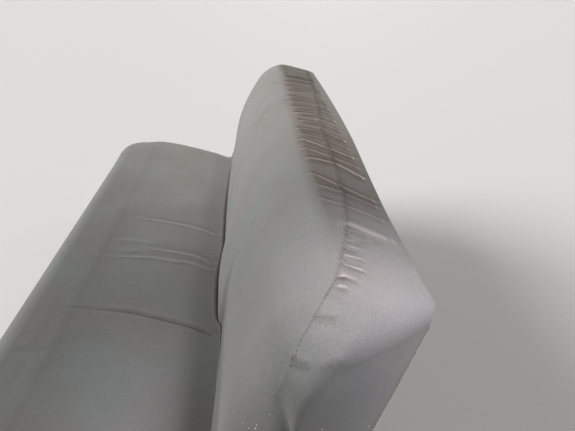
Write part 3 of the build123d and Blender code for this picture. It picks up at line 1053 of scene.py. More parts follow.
@dataclass
class BackrestCover(SoftCover):
    """The backrest's cover. Sizes in mm in the frame: x along the seat, y to the rear, z up."""

    half: float = 706.0
    base_z: float = 175.0
    seam_y: float = 62.0
    bend: tuple[float, float] = (62.0, 240.0)
    junction: tuple[float, float] = (72.0, 334.0)
    belly: tuple[float, float] = (106.0, 462.0)
    shoulder: tuple[float, float] = (165.0, 582.0)
    brow: tuple[float, float] = (201.0, 621.5)
    crown: tuple[float, float] = (257.0, 646.0)
    band_end: tuple[float, float] = (365.2, 619.6)
    rim: tuple[float, float] = (376.0, 606.0)
    rear_start: tuple[float, float] = (375.0, 600.8)
    rear_foot: tuple[float, float] = (205.6, 175.0)
    # The ends: how they draw in towards the rear, and their upper corner
    taper_from_y: float = 150.0
    taper: float = 74.0
    taper_power: float = 2.16
    corner_r: float = 52.0
    corner_y: tuple[float, float] = (240.0, 350.0)
    # Their rounding: how full it is, how far its middle stands out, and how wide its radii blend
    squareness: float = 0.84
    tip: float = 5.0
    blur: int = 5
    # How far up the side view from the junction each lies
    crown_run: float = 374.0
    seam_run: float = 440.0
    hem_run: float = 492.0
    edge_run: float = 494.0
    # Columns: x, and how far the junction stands back there
    belly_line: tuple = (
        (-720, 10), (-600, 7), (-500, 3), (-400, -0.5), (-300, -2.5), (-150, -3), (-50, -1), (50, 1),
        (100, -2), (150, -6), (200, -6.5), (250, -4), (298, 1), (318, 8), (338, 14.5), (560, 14.5),
        (640, 11), (720, 6),
    )
    # Columns: x, and how far the rear edge stands out there
    edge_line: tuple = (
        (-720, 0), (-640, 6), (-500, 11), (-300, 15), (-100, 16), (60, 14), (200, 8), (300, 4),
        (400, 1), (500, 1), (600, 0), (720, 0),
    )
    columns: int = 214
    near_steps: int = 22
    far_steps: int = 8
    cap_steps: int = 7

    def outline(self) -> tuple[np.ndarray, np.ndarray]:
        """The side view as a closed ring, with the radius that each point's end is rounded to.

        Returns:
            The ring's points as y and z, and the radii.
        """
        # Columns: points, and the radius at the first and at the last of them
        parts = [
            (np.linspace((self.seam_y, self.base_z), self.bend, 4), 34, 46),
            (np.linspace(self.bend, self.junction, 6), 46, 52),
            (arc_through(self.junction, self.belly, self.shoulder, 26), 52, 126),
            (arc_through(self.shoulder, self.brow, self.crown, 15), 126, 70),
            (np.linspace(self.crown, self.band_end, 15), 70, 22),
            (arc_through(self.band_end, self.rim, self.rear_start, 4), 20, 18),
            (np.linspace(self.rear_start, self.rear_foot, 12), 18, 18),
            (np.linspace(self.rear_foot, (self.seam_y, self.base_z), 7), 18, 34),
        ]
        ring = np.vstack([points[:-1] for points, _, _ in parts])
        radii = np.concatenate([np.linspace(a, b, len(p))[:-1] for p, a, b in parts])
        window = np.hanning(2 * self.blur + 3)[1:-1]
        padded = np.concatenate([radii[-self.blur:], radii, radii[:self.blur]])
        return ring, np.convolve(padded, window / window.sum(), "valid")

    def end_x(self, spots: np.ndarray) -> np.ndarray:
        """How far the end reaches: it draws in towards the rear and round the upper corner.

        Args:
            spots: places as y and z.

        Returns:
            The half width there.
        """
        y, z = np.asarray(spots, float).T
        share = np.clip((y - self.taper_from_y) / (self.rim[0] - self.taper_from_y), 0, 1)
        over = np.clip(z - self.crown[1] + self.corner_r, 0, 0.995 * self.corner_r)
        corner = self.corner_r - np.sqrt(self.corner_r ** 2 - over ** 2)
        corner = corner * (1 - smoothstep(y, *self.corner_y))
        return self.half - ((self.taper * share ** self.taper_power) ** 3 + corner ** 3) ** (1 / 3)

    def bulge(self, x: np.ndarray | float) -> np.ndarray:
        """How far the front panel's foot stands back from its side view, as it bellies out.

        Args:
            x: places along the seat.

        Returns:
            Offsets towards the rear.
        """
        line = through_points(self.belly_line, 6)
        return np.interp(x, line[:, 0], line[:, 1])

    def bellied(self, points: np.ndarray) -> np.ndarray:
        """Moves the front panel's points to the bellied shape, and bows the rear edge out.

        Args:
            points: one row a point.

        Returns:
            The moved points.
        """
        x, y, z = points.T
        share = smoothstep(z, 250, 325) * (1 - smoothstep(z, 325, 520)) * (1 - smoothstep(y, 120, 200))
        line = through_points(self.edge_line, 6)
        rear = smoothstep(y, 255, 365) * smoothstep(z, 380, 590)
        move = self.bulge(x) * share + np.interp(x, line[:, 0], line[:, 1]) * rear
        return points + np.outer(move, (0, 1, 0))

    def end_loops(self, sign: int, ring: np.ndarray, radii: np.ndarray) -> list[np.ndarray]:
        """Loops from the start of an end's rounding to its middle.

        Args:
            sign: 1 for the driver's end, -1 for the other.
            ring: the side view.
            radii: the rounding of each of its points.

        Returns:
            Points of each loop.
        """
        tangent = np.roll(ring, -1, 0) - np.roll(ring, 1, 0)
        tangent /= np.linalg.norm(tangent, axis=1)[:, None]
        inward = np.stack([tangent[:, 1], -tangent[:, 0]], 1)
        centre = ring.mean(0)
        homeward = centre - ring
        homeward /= np.maximum(np.einsum("ij,ij->i", homeward, inward), 60)[:, None]
        loops = []
        steps = self.near_steps if sign > 0 else self.far_steps
        for share in np.linspace(0, 1, steps + 1):
            angle = math.pi / 2 * (share - 0.1 * math.sin(2 * math.pi * share))
            inset, reach = 1 - math.cos(angle) ** self.squareness, math.sin(angle) ** self.squareness
            spot = ring + homeward * (radii * inset)[:, None]
            x = self.end_x(spot) - radii * (1 - reach)
            loops.append(np.column_stack([sign * x, spot]))
        inner = loops[-1][:, 1:]
        for share in np.linspace(0, 1, self.cap_steps + 1)[1:-1]:
            spot = inner + (centre - inner) * share
            x = self.end_x(spot) + self.tip * math.sin(share * math.pi / 2)
            loops.append(np.column_stack([sign * x, spot]))
        return loops

    def build(self) -> bpy.types.Object:
        """Builds the closed coarse form.

        Returns:
            The cover's object.
        """
        ring, radii = self.outline()
        count = len(ring)
        right, left = (self.end_loops(sign, ring, radii) for sign in (1, -1))
        shares = np.linspace(0, 1, self.columns + 1)[1:-1]
        middle = [left[0] + (right[0] - left[0]) * share for share in shares]
        loops = [*reversed(left), *middle, *right]
        tip = np.append(float(self.end_x(ring.mean(0))) + self.tip, ring.mean(0))
        points = self.bellied(np.vstack([*loops, tip * (-1, 1, 1), tip]))
        after = [(j, (j + 1) % count) for j in range(count)]
        faces = [(i * count + j, i * count + k, (i + 1) * count + k, (i + 1) * count + j)
                 for i in range(len(loops) - 1) for j, k in after]
        last = (len(loops) - 1) * count
        faces += [(last + count, k, j) for j, k in after]
        faces += [(last + count + 1, last + j, last + k) for j, k in after]
        return mesh_object("backrest_cover", points, faces)

    def at(self, x: float, run: float) -> tuple[float, float, float]:
        """A point of the front and the top band by its distance up from the junction.

        Args:
            x: place along the seat.
            run: distance along the side view from the junction.

        Returns:
            The point.
        """
        line = np.vstack([
            arc_through(self.junction, self.belly, self.shoulder, 60),
            arc_through(self.shoulder, self.brow, self.crown, 40)[1:],
            self.band_end,
            arc_through(self.band_end, self.rim, self.rear_start, 10)[1:],
        ])
        runs = lengths_along(line)
        return x, float(np.interp(run, runs, line[:, 0])), float(np.interp(run, runs, line[:, 1]))

    def gathers(self) -> list[Fold]:
        """Fine gathers across the top band, from the crown to the rear edge.

        Returns:
            The folds.
        """
        # Columns: x at the crown, x at the seam, x at the rear edge, height and width
        table = [
            (-610, -604, -596, 5.0, 8), (-556, -543, -530, 6.4, 9), (-492, -480, -470, 5.4, 8),
            (-434, -440, -428, 6.8, 9), (-368, -390, -370, 6.0, 8), (-310, -332, -322, 6.8, 8),
            (-256, -272, -252, 5.6, 8), (-202, -214, -200, 6.8, 7), (-150, -166, -146, 5.4, 7),
            (-100, -120, -100, 6.2, 7), (-50, -68, -42, 6.6, 7), (4, 0, 28, 6.4, 6),
            (62, 62, 96, 6.2, 6), (96, 108, 142, 4.2, 5), (123, 160, 188, 6.2, 6),
            (175, 205, 236, 3.8, 5), (228, 236, 284, 5.6, 6), (295, 339, 372, 4.2, 5),
            (342, 363, 392, 3.2, 5), (392, 409, 436, 2.6, 4),
        ]
        draw = np.random.default_rng(SEED)
        folds = []
        for front, seam, rear, height, width in table:
            start = self.at(front, self.crown_run + draw.uniform(-8, 8))
            points = (start, self.at(seam, self.seam_run), self.at(rear, self.edge_run))
            valley = draw.uniform(0.4, 0.6)
            folds.append(Fold(points, height, width, valley, fade=0.16, last_fade=0.1))
        ridge = ((462, 386), (459, 417), (475, 451), (488, 476), (510, 496))
        folds.append(Fold(tuple(self.at(*p) for p in ridge), 2.6, 11.0, 0.5, fade=0.3))
        return folds

    def puckers(self) -> list[Fold]:
        """Short folds that the seam's thread draws up over the near end's corner.

        Returns:
            The folds.
        """
        # Columns: start at the seam as x, y and z, length towards the rear, and height
        table = [
            (500, 280, 641, 40, 3.0), (523, 273, 642, 30, 2.6), (545, 267, 643, 36, 3.0),
            (570, 259, 644, 38, 3.2), (590, 251, 642, 30, 2.8), (609, 243, 640, 22, 2.0),
        ]
        folds = []
        for x, y, z, length, height in table:
            half_way = (x + 2, y + length / 2, z - length / 8)
            end = (x + 5, y + length, z - length / 4)
            folds.append(Fold(((x, y, z), half_way, end), height, 4.2, 0.6, fade=0.3))
        return folds

    def end_folds(self) -> list[Fold]:
        """Creases on the near end's face.

        Returns:
            The folds.
        """
        return [
            Fold(((649, 208, 619), (655, 223, 624), (660, 233, 627), (663, 248, 629)), 2.2, 3.2, 0.8,
                 Side.RIGHT, 0.3),
            Fold(((663, 186, 590), (669, 191, 586), (674, 195, 587), (679, 201, 589), (686, 212, 592)),
                 -2.0, 3.8, 0.5, fade=0.25),
            Fold(((684, 208, 591), (689, 225, 597), (689, 240, 602), (687, 256, 607)), -1.2, 7.0, 0.4,
                 fade=0.4),
        ]

    def rear_hem(self, inset: float) -> tuple:
        """A line beside the rear edge, up one end, along the top and down the other end.

        Args:
            inset: how far it lies from the edge.

        Returns:
            The line's points.
        """
        ends = []
        for z in (215, 300, 400, 500, 560, 592):
            y = float(np.interp(z, (self.rear_foot[1], self.rear_start[1]),
                                (self.rear_foot[0], self.rear_start[0]))) - inset
            ends.append((float(self.end_x((y, z))), y, z))
        top = [self.at(x, self.hem_run - inset) for x in (604, 580, 400, 200, 0, -200, -400, -580, -604)]
        return (*ends, *top, *((-x, y, z) for x, y, z in reversed(ends)))

    def faint_folds(self) -> list[Fold]:
        """Faint slanted pulls on the front panel and low on the rear panel.

        Returns:
            The folds.
        """
        # Columns: points, height and width
        table = [
            (((-385, 210, 627), (-397, 236, 640)), 2.2, 4.0),
            (((-184, 224, 635), (-182, 253, 645)), 1.9, 4.0),
            (((-134, 225, 636), (-150, 251, 645)), 1.8, 4.0),
            (((-215, 238, 640), (-188, 205, 625), (-167, 175, 597), (-126, 154, 563), (-85, 141, 540)),
             -1.9, 9.0),
            (((17, 101, 454), (34, 120, 498)), 0.9, 8.0),
            (((-7, 89, 421), (-74, 101, 452), (-100, 132, 522)), 0.8, 10.0),
            (((-655, 222, 216), (-600, 247, 278), (-520, 270, 335)), 1.8, 7.0),
            (((-672, 240, 262), (-640, 276, 350), (-585, 310, 436)), 1.4, 8.0),
            (((658, 224, 220), (612, 244, 271), (548, 262, 316)), 1.8, 7.0),
            (((670, 252, 292), (641, 283, 368), (600, 306, 425)), 1.4, 8.0),
            (((-250, 209, 184), (-243, 232, 240), (-228, 252, 292)), 1.3, 6.0),
            (((205, 209, 184), (196, 228, 231), (186, 246, 276)), 1.3, 6.0),
        ]
        return [Fold(points, height, width, fade=0.4) for points, height, width in table]

    def seam_lines(self) -> list[Seam]:
        """The seam: flat along the band, puckered over the near corner, flat on the end.

        Returns:
            Its three runs.
        """
        band = ((-640, 478), (-560, 474), (-309, 463), (-143, 453), (7, 440), (137, 436), (262, 432),
                (368, 426), (422, 420), (474, 412))
        corner = (self.at(466, 413), (531, 271, 643), (562, 261, 644), (602, 247, 641), (628, 229, 633))
        end = ((621, 235, 636), (650, 211, 620), (661, 198, 606), (671, 188, 593), (679, 176, 562),
               (685, 164, 522))
        return [Seam(tuple(self.at(*p) for p in band), pucker=0),
                Seam(corner, 2.2, 2.6, 1.9, 18.0, side=Side.RIGHT),
                Seam(end, 1.1, 2.6, 0)]

    def make(self) -> bpy.types.Object:
        """Builds, inflates, refines, folds and dresses the cover.

        Returns:
            The finished piece.
        """
        item = self.build()
        self.inflate(item, 1 - smoothstep(points_of(item.data)[:, 2], 200, 330))
        self.refine(item)
        hem = [Fold(self.rear_hem(inset), height, width, 0, fade=0.03)
               for inset, height, width in ((7, 0.8, 3.2), (15, -0.6, 2.6))]
        self.crease(item, [*self.gathers(), *self.puckers(), *self.end_folds(), *self.faint_folds(),
                           *hem, *self.seam_lines()])
        return self.finish(item, "backrest", 0.8)


@dataclass(frozen=True)
class PlanRing:
    """Right half of a rounded outline in plan, in mm. The left half mirrors it."""

    front_y: float
    rear_y: float
    half: float
    rear_half: float
    corner: float
    rear_corner: float
    bend_y: float = -210.0
    rear_start: float = 556.0

    def points(self, counts: tuple[int, int, int, int, int]) -> np.ndarray:
        """The closed outline from the middle of its front, by way of +x.

        Args:
            counts: steps along half the front, half a front corner, the side before its
                bend, the side after it, and half a rear corner.

        Returns:
            One row a point.
        """
        front, turn, before, after, rear_turn = counts
        angles = np.linspace(-math.pi / 2, 0, 2 * turn + 1)
        arc = np.column_stack([self.half - self.corner + self.corner * np.cos(angles),
                               self.front_y + self.corner + self.corner * np.sin(angles)])
        angles = np.linspace(0, math.pi / 2, 2 * rear_turn + 1)
        reach = self.rear_half - self.rear_start
        fan = np.column_stack([self.rear_start + reach * np.cos(angles),
                               self.rear_y - self.rear_corner * (1 - np.sin(angles) ** 0.5)])
        bend = np.array((self.half, self.bend_y))
        knee = bend + (0, 0.45 * (fan[0, 1] - self.bend_y))
        t = np.linspace(0, 1, after + 1)[:-1, None]
        right = np.vstack([
            np.linspace((0, self.front_y), arc[0], front + 1)[:-1],
            arc[:-1],
            np.linspace(arc[-1], bend, before + 1)[:-1],
            (1 - t) ** 2 * bend + 2 * t * (1 - t) * knee + t ** 2 * fan[0],
            fan[:-1],
            np.linspace(fan[-1], (0, self.rear_y), front + turn - rear_turn + 1),
        ])
        return np.vstack([right, right[-2:0:-1] * (-1, 1)])


@dataclass
class CushionCover(SoftCover):
    """The cushion's cover. Sizes in mm in the frame: x along the seat, y to the rear, z up."""

    pressure: ClassVar[float] = 4.0
    backrest: BackrestCover
    counts: tuple[int, int, int, int, int] = (98, 12, 7, 29, 4)
    shoulder: PlanRing = PlanRing(-306, 64, 684, 566, 40, 8)
    outer: PlanRing = PlanRing(-376, 72, 745, 725.6, 110, 20)
    hem: PlanRing = PlanRing(-352, 62, 724, 710, 88, 16)
    inner: PlanRing = PlanRing(-341, 60, 690.6, 690.6, 3, 3)
    roll_steps: int = 8
    skirt_steps: int = 7
    hem_z: float = 107.0
    rear_hem_z: float = 155.0
    ceiling_z: float = 154.4
    ceiling_rise: float = 34.0
    # The top's height in front, and how far it falls rearward: in its middle, at its ends, at its edge
    top: float = 324.0
    middle_drop: float = 5.0
    edge_drop: float = 44.0
    rear_drop: float = 7.0
    # Where people sit, and how far the top gives way there
    sitter_xs: tuple[float, float] = (-360.0, 350.0)
    sitter_y: float = -90.0
    sitter_drop: float = 5.0
    # Where the skirt begins in front, how much lower at the ends, and how much more at the rear
    skirt_z: float = 258.0
    end_drop: float = 36.0
    end_slope: float = 50.0
    rear_run: float = 350.0
    # Spacing of the hem's gathers
    gather: float = 34.0
    small_gather: float = 19.0

    def rearward(self, y: np.ndarray) -> np.ndarray:
        """How far to the rear places lie, from 0 to 1."""
        return np.clip((y - self.shoulder.bend_y) / self.rear_run, 0, 1)

    def top_z(self, x: np.ndarray, y: np.ndarray) -> np.ndarray:
        """Height of the crowned top, with the two places where people sit a little lower.

        Args:
            x: places along the seat.
            y: places along its depth.

        Returns:
            Heights.
        """
        rearward = self.rearward(y)
        edge_x = self.shoulder.half + (self.shoulder.rear_half - self.shoulder.half) * rearward
        middle, edge = self.top - self.middle_drop * rearward, self.top - self.edge_drop * rearward
        sat = sum(np.exp(-((x - at) / 190) ** 2 - ((y - self.sitter_y) / 150) ** 2)
                  for at in self.sitter_xs)
        crowned = middle - (middle - edge) * (x / edge_x) ** 2
        return crowned - self.sitter_drop * sat - self.rear_drop * smoothstep(y, 0, 66)

    def top_patch(self, edge: np.ndarray) -> np.ndarray:
        """The top's grid of points inside its edge.

        Args:
            edge: the closed edge, from the middle of the front by way of +x.

        Returns:
            Points by column, row and axis.
        """
        wide, deep = 2 * (self.counts[0] + self.counts[1]), sum(self.counts[1:])
        start = wide // 2
        loop = np.roll(edge, start, 0)
        front, right = loop[:wide + 1], loop[wide:wide + deep + 1]
        rear = loop[wide + deep:2 * wide + deep + 1][::-1]
        left = np.vstack([loop[2 * wide + deep:], loop[:1]])[::-1]
        u = np.linspace(0, 1, wide + 1)[:, None, None]
        v = np.linspace(0, 1, deep + 1)[None, :, None]
        sides = (1 - v) * front[:, None] + v * rear[:, None] + (1 - u) * left[None] + u * right[None]
        corners = ((1 - u) * ((1 - v) * front[0] + v * rear[0])
                   + u * ((1 - v) * front[-1] + v * rear[-1]))
        grid = sides - corners
        return np.dstack([grid, self.top_z(grid[..., 0], grid[..., 1])])

    def skirt_top(self, shoulder: np.ndarray, outer: np.ndarray, edge_z: np.ndarray,
                  rear: np.ndarray) -> np.ndarray:
        """Height at which the rounded edge ends and the skirt begins.

        Args:
            shoulder: the top's edge in plan.
            outer: the widest outline in plan.
            edge_z: the top's height along its edge.
            rear: which points are at the rear.

        Returns:
            Heights.
        """
        reach = np.abs(outer - shoulder)
        facing = smoothstep(np.arctan2(reach[:, 0], reach[:, 1]), 0.1, 1.47)
        drop = self.end_drop + self.end_slope * self.rearward(shoulder[:, 1])
        side_z = self.skirt_z - drop * facing
        inside, outside = self.shoulder.rear_half, self.outer.rear_half
        fall = np.clip((np.abs(outer[:, 0]) - inside) / (outside - inside), 0, 1)
        falling = side_z.min() + (edge_z - side_z.min()) * np.sqrt(1 - fall ** 2)
        return np.where(rear, np.minimum(falling, edge_z - 9), side_z)

    def rings(self) -> tuple[np.ndarray, list[np.ndarray]]:
        """Closed rings round the rounded edge, down the skirt, under its hem and up inside.

        Returns:
            The top's edge in plan, and the rings' points from there.
        """
        shoulder, outer, hem, inner = (r.points(self.counts) for r in (
            self.shoulder, self.outer, self.hem, self.inner))
        rear = shoulder[:, 1] > self.shoulder.rear_y - self.shoulder.rear_corner - 0.1
        edge_z = self.top_z(shoulder[:, 0], shoulder[:, 1])
        side_z = self.skirt_top(shoulder, outer, edge_z, rear)
        hem_z = np.where(rear & (np.abs(hem[:, 0]) < 692), self.rear_hem_z, self.hem_z)
        behind = self.backrest.bulge(shoulder[:, 0]) * rear
        shoulder[:, 1] += behind
        outer[:, 1] += 0.85 * behind
        rings = []
        for turn in np.linspace(0, math.pi / 2, self.roll_steps + 1)[1:]:
            plan = shoulder + (outer - shoulder) * math.sin(turn)
            rings.append(np.column_stack([plan, side_z + (edge_z - side_z) * math.cos(turn)]))
        for share in np.linspace(0, 1, self.skirt_steps + 1)[1:]:
            plan = outer + (hem - outer) * share ** np.where(rear, 1, 4)[:, None]
            rings.append(np.column_stack([plan, side_z + (hem_z - side_z) * share]))
        ceiling = self.ceiling_z + bow(inner[:, 1], self.ceiling_rise)
        rings.append(np.column_stack([inner, np.minimum(hem_z, ceiling - 0.3)]))
        rings.append(np.column_stack([inner, ceiling]))
        return shoulder, rings

    def build(self) -> bpy.types.Object:
        """Builds the coarse form, open underneath.

        Returns:
            The cover's object.
        """
        edge, rings = self.rings()
        grid = self.top_patch(edge)
        wide, deep = grid.shape[0] - 1, grid.shape[1] - 1
        number = np.arange((wide + 1) * (deep + 1)).reshape(wide + 1, deep + 1)
        above = np.concatenate([number[wide // 2:, 0], number[wide, 1:], number[wide - 1::-1, deep],
                                number[0, deep - 1::-1], number[1:wide // 2, 0]])
        faces = [(number[i, j], number[i + 1, j], number[i + 1, j + 1], number[i, j + 1])
                 for i in range(wide) for j in range(deep)]
        count = len(above)
        for k in range(len(rings)):
            below = number.size + k * count + np.arange(count)
            faces += [(above[i], below[i], below[(i + 1) % count], above[(i + 1) % count])
                      for i in range(count)]
            above = below
        faces = [tuple(int(n) for n in face) for face in faces]
        return mesh_object("cushion_cover", np.vstack([grid.reshape(-1, 3), *rings]), faces)

    def open_rim(self, shape: bmesh.types.BMesh) -> list[bmesh.types.BMVert]:
        """The points round the form's one opening, in order.

        Args:
            shape: the form.

        Returns:
            The points.
        """
        edges = {e for e in shape.edges if e.is_boundary}
        edge = min(edges, key=lambda e: e.index)
        loop, point = [], edge.verts[0]
        while not loop or point is not loop[0]:
            loop.append(point)
            point = edge.other_vert(point)
            edge = next(e for e in point.link_edges if e in edges and e is not edge)
        return loop

    def close_under(self, item: bpy.types.Object) -> None:
        """Closes the underside with strips from end to end, which follow the deck's bow.

        Args:
            item: the cover.
        """
        shape = bmesh.new()
        shape.from_mesh(item.data)
        loop = self.open_rim(shape)
        corners = [max(range(len(loop)), key=lambda i: sx * loop[i].co.x + sy * loop[i].co.y)
                   for sx, sy in ((-1, -1), (1, -1), (1, 1), (-1, 1))]
        if (corners[1] - corners[0]) % len(loop) > (corners[0] - corners[1]) % len(loop):
            loop.reverse()
            corners = [len(loop) - 1 - c for c in corners]
        front, right, rear, left = (
            [loop[(corners[k] + i) % len(loop)]
             for i in range((corners[(k + 1) % 4] - corners[k]) % len(loop) + 1)] for k in range(4))
        left = left[::-1]
        shape.faces.new([*front[1:-1][::-1], left[0], left[1], right[1], right[0]])
        shape.faces.new([*rear[1:-1][::-1], right[-1], right[-2], left[-2], left[-1]])
        for i in range(1, len(left) - 2):
            shape.faces.new((left[i], left[i + 1], right[i + 1], right[i]))
        bmesh.ops.recalc_face_normals(shape, faces=shape.faces)
        shape.to_mesh(item.data)
        shape.free()

    def folds(self) -> list[Fold]:
        """The long pulls that fan out over the seat from the backrest.

        Returns:
            The folds.
        """
        # Columns: points as x and y, height, width, the valley's share of it and the front's fade
        table = [
            (((-93, -225), (-83, -153), (-51, -55), (-22, 11), (5, 60)), 2.4, 5.0, 0.6, 0.4),
            (((26, -222), (31, -147), (47, -111)), 1.4, 7.0, 0.4, 0.3),
            (((56, -146), (73, -85), (87, -31), (109, 23), (135, 58)), 2.3, 5.0, 0.5, 0.4),
            (((70, -190), (78, -140)), 1.2, 8.0, 0.3, 0.3),
            (((98, -253), (103, -111), (120, -42), (127, -6), (157, 58)), 2.1, 5.0, 0.4, 0.4),
            (((66, 22), (84, 40), (108, 62)), 1.6, 4.0, 0.5, 0.3),
            (((276, -345), (282, -206), (290, -118), (306, -59), (326, -1), (339, 39), (357, 77)),
             -3.0, 3.8, 0.5, 0.8),
            (((395, -299), (400, -234)), -0.9, 9.0, 0.5, 0.3),
        ]
        return [Fold(tuple((x, y, 320) for x, y in spots), height, width, valley, fade=fade,
                     last_fade=0.06) for spots, height, width, valley, fade in table]

    def gather_hem(self, item: bpy.types.Object) -> None:
        """Draws the skirt's lower edge into small upright gathers, as elastic does.

        Args:
            item: the cover.
        """
        spots, normals = points_of(item.data), points_of(item.data, "normal")
        run = np.abs(spots[:, 0]) + spots[:, 1]
        phase = 0.9 * np.sin(spots[:, 0] / 61) + 0.7 * np.sin(run / 37)
        crest, small = ((1 - np.abs(np.sin(math.pi * run / size + turn))) ** 1.5
                        for size, turn in ((self.gather, phase), (self.small_gather, 2 * phase)))
        low = 1 - smoothstep(spots[:, 2], 112, 190)
        outside = (np.abs(spots[:, 0]) > 700) | (spots[:, 1] < -345)
        rise = (2.4 * crest + 1.2 * small - 1.2) * low * outside
        normals[:, 2] = 0
        move_points(item.data, spots + normals * rise[:, None])

    def make(self) -> bpy.types.Object:
        """Builds, inflates, refines, folds and dresses the cover.

        Returns:
            The finished piece.
        """
        item = self.build()
        spots = points_of(item.data)
        held = np.maximum(1 - smoothstep(spots[:, 2], 150, 260), smoothstep(spots[:, 1], -320, 66))
        self.inflate(item, held)
        self.refine(item)
        self.crease(item, self.folds())
        self.gather_hem(item)
        self.close_under(item)
        return self.finish(item, "seat_cushion", 0.8)


@dataclass
class Deck:
    """The spring deck: zigzag springs, their tie wires and the jute sheet over them, in mm."""

    wire_r: float = 2.0
    straight: float = 11.75
    bend_r: float = 11.25
    rows: int = 17
    middle_y: float = -135.0
    wire_z: float = 147.1
    rise: float = 36.0
    spring_count: int = 10
    spring_pitch: float = 132.0
    tie_r: float = 1.5
    tie_half: float = 619.0
    tie_gap: float = 0.6
    ring_r: float = 5.4
    ring_wire_r: float = 0.8
    ring_x: float = 23.0
    ring_z: float = 1.8
    sheet_gauge: float = 1.6
    sheet_half: float = 689.0
    sheet_y: tuple[float, float] = (-339.0, 61.0)
    sheet_z: float = 151.9
    sheet_rise: float = 33.9
    sheet_lift: float = 0.25

    def spring_xs(self) -> list[float]:
        """Where the springs stand along the seat."""
        middle = (self.spring_count - 1) / 2
        return [self.spring_pitch * (k - middle) for k in range(self.spring_count)]

    def springs(self) -> bpy.types.Object:
        """One wire drawn through straights and half turns, bowed, then copied.

        Returns:
            The springs as one piece.
        """
        pitch = 2 * self.bend_r
        y = self.middle_y - pitch * (self.rows - 1) / 2
        choose()
        bpy.ops.mesh.primitive_circle_add(
            vertices=8, radius=self.wire_r * MM, location=(0, y * MM, self.wire_z * MM),
            rotation=(0, math.pi / 2, 0))
        model = bpy.context.object
        bpy.ops.object.mode_set(mode="EDIT")
        bpy.ops.mesh.select_all(action="SELECT")
        side, last = 1, self.rows - 1
        for row in range(self.rows):
            length = self.straight * (1 if row in (0, last) else 2)
            bpy.ops.mesh.extrude_region_move(TRANSFORM_OT_translate={"value": (side * length * MM, 0, 0)})
            if row < last:
                bpy.ops.mesh.spin(
                    steps=6, angle=-side * math.pi, axis=(0, 0, 1),
                    center=(side * self.straight * MM, (y + self.bend_r) * MM, self.wire_z * MM))
            side, y = -side, y + pitch
        bpy.ops.mesh.select_all(action="SELECT")
        bpy.ops.mesh.remove_doubles(threshold=0.01 * MM)
        bpy.ops.mesh.fill_holes(sides=8)
        bpy.ops.mesh.normals_make_consistent(inside=False)
        settle(model)
        spots = points_of(model.data)
        spots[:, 2] += bow(spots[:, 1], self.rise)
        move_points(model.data, spots)
        bpy.ops.object.shade_smooth_by_angle(angle=math.radians(50))
        places = [Matrix.Translation((x * MM, 0, 0)) for x in self.spring_xs()]
        return dressed(joined("zigzag_springs", copies(model, places)), WIRE, Body.SEAT,
                       "spring_wire", "cushion_springs")

    def ties(self) -> bpy.types.Object:
        """Two straight wires with a ring at each spring.

        Returns:
            The wires and rings as one piece.
        """
        parts = []
        for step, side in ((2, -1), (4, 1)):
            y = DECK_FRONT_MM + step * DECK_RUN_MM / 6
            z = self.wire_z - self.wire_r + bow(y, self.rise) - self.tie_r - self.tie_gap
            bpy.ops.mesh.primitive_cylinder_add(
                vertices=10, radius=self.tie_r * MM, depth=2 * self.tie_half * MM,
                location=(0, y * MM, z * MM), rotation=(0, math.pi / 2, 0))
            parts.append(bpy.context.object)
            for x in self.spring_xs():
                bpy.ops.mesh.primitive_torus_add(
                    major_radius=self.ring_r * MM, minor_radius=self.ring_wire_r * MM,
                    major_segments=16, minor_segments=5, rotation=(math.pi / 2, 0, math.pi / 4),
                    location=((x + self.ring_x * side) * MM, y * MM, (z + self.ring_z) * MM))
                parts.append(bpy.context.object)
        for part in parts:
            smoothed(part, 50)
        return dressed(joined("tie_wire_set", parts), WIRE, Body.SEAT, "spring_wire", "tie_wires")

    def sheet(self) -> bpy.types.Object:
        """The jute sheet, stretched from rail to rail over the springs.


        Returns:
            The sheet.
        """
        across = np.linspace(-1, 1, 139) * self.sheet_half
        deep = np.linspace(*self.sheet_y, 61)
        x, y = (g.ravel() for g in np.meshgrid(across, deep))
        sag = np.cos(2 * math.pi * x / self.spring_pitch) * bow(y, 0.5)
        sag = sag * (bow(y, 1.0) > 0.1) * 0.5
        z = self.sheet_z + bow(y, self.sheet_rise) + sag + self.sheet_lift
        n = len(across)
        faces = [(j * n + i, j * n + i + 1, (j + 1) * n + i + 1, (j + 1) * n + i)
                 for j in range(len(deep) - 1) for i in range(n - 1)]
        item = mesh_object("jute_deck", np.column_stack([x, y, z]), faces)
        shade_smooth(item.data)
        thick = item.modifiers.new("cloth", "SOLIDIFY")
        thick.thickness, thick.offset = self.sheet_gauge * MM, 1
        settle(item)
        dressed(item, JUTE, Body.SEAT, "deck_cloth", "deck_sheet")
        return item

    def make(self) -> None:
        """Builds the springs, the ties and the sheet."""
        springs = self.springs()
        self.ties()
        self.sheet()


@dataclass
class LeverKnob:
    """The moulded knob on the release lever, in mm."""

    radius: float = 10.4
    rounding: float = 3.2
    ferrule_r: float = 6.2

    def make(self) -> None:
        """Turns the knob and its steel ferrule at the node's place."""
        low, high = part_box("lever_knob")
        middle, length = (low + high) / 2, high.y - low.y
        choose()
        bpy.ops.mesh.primitive_cylinder_add(vertices=40, radius=self.radius * MM, depth=length,
                                            location=middle, rotation=(math.pi / 2, 0, 0))
        knob = bpy.context.object
        knob.name = "release_knob"
        add_bevel(knob, self.rounding, 5, 60)
        smoothed(knob, 30)
        dressed(knob, PHENOLIC, Body.SEAT, "knob_plastic", "lever_knob")
        bpy.ops.mesh.primitive_cylinder_add(
            vertices=24, radius=self.ferrule_r * MM, depth=3 * MM,
            location=(middle.x, high.y + 1.2 * MM, middle.z), rotation=(math.pi / 2, 0, 0))
        ferrule = bpy.context.object
        ferrule.name = "knob_ferrule"
        smoothed(ferrule, 30)
        dressed(ferrule, ZINC, Body.SEAT, "rail_steel")


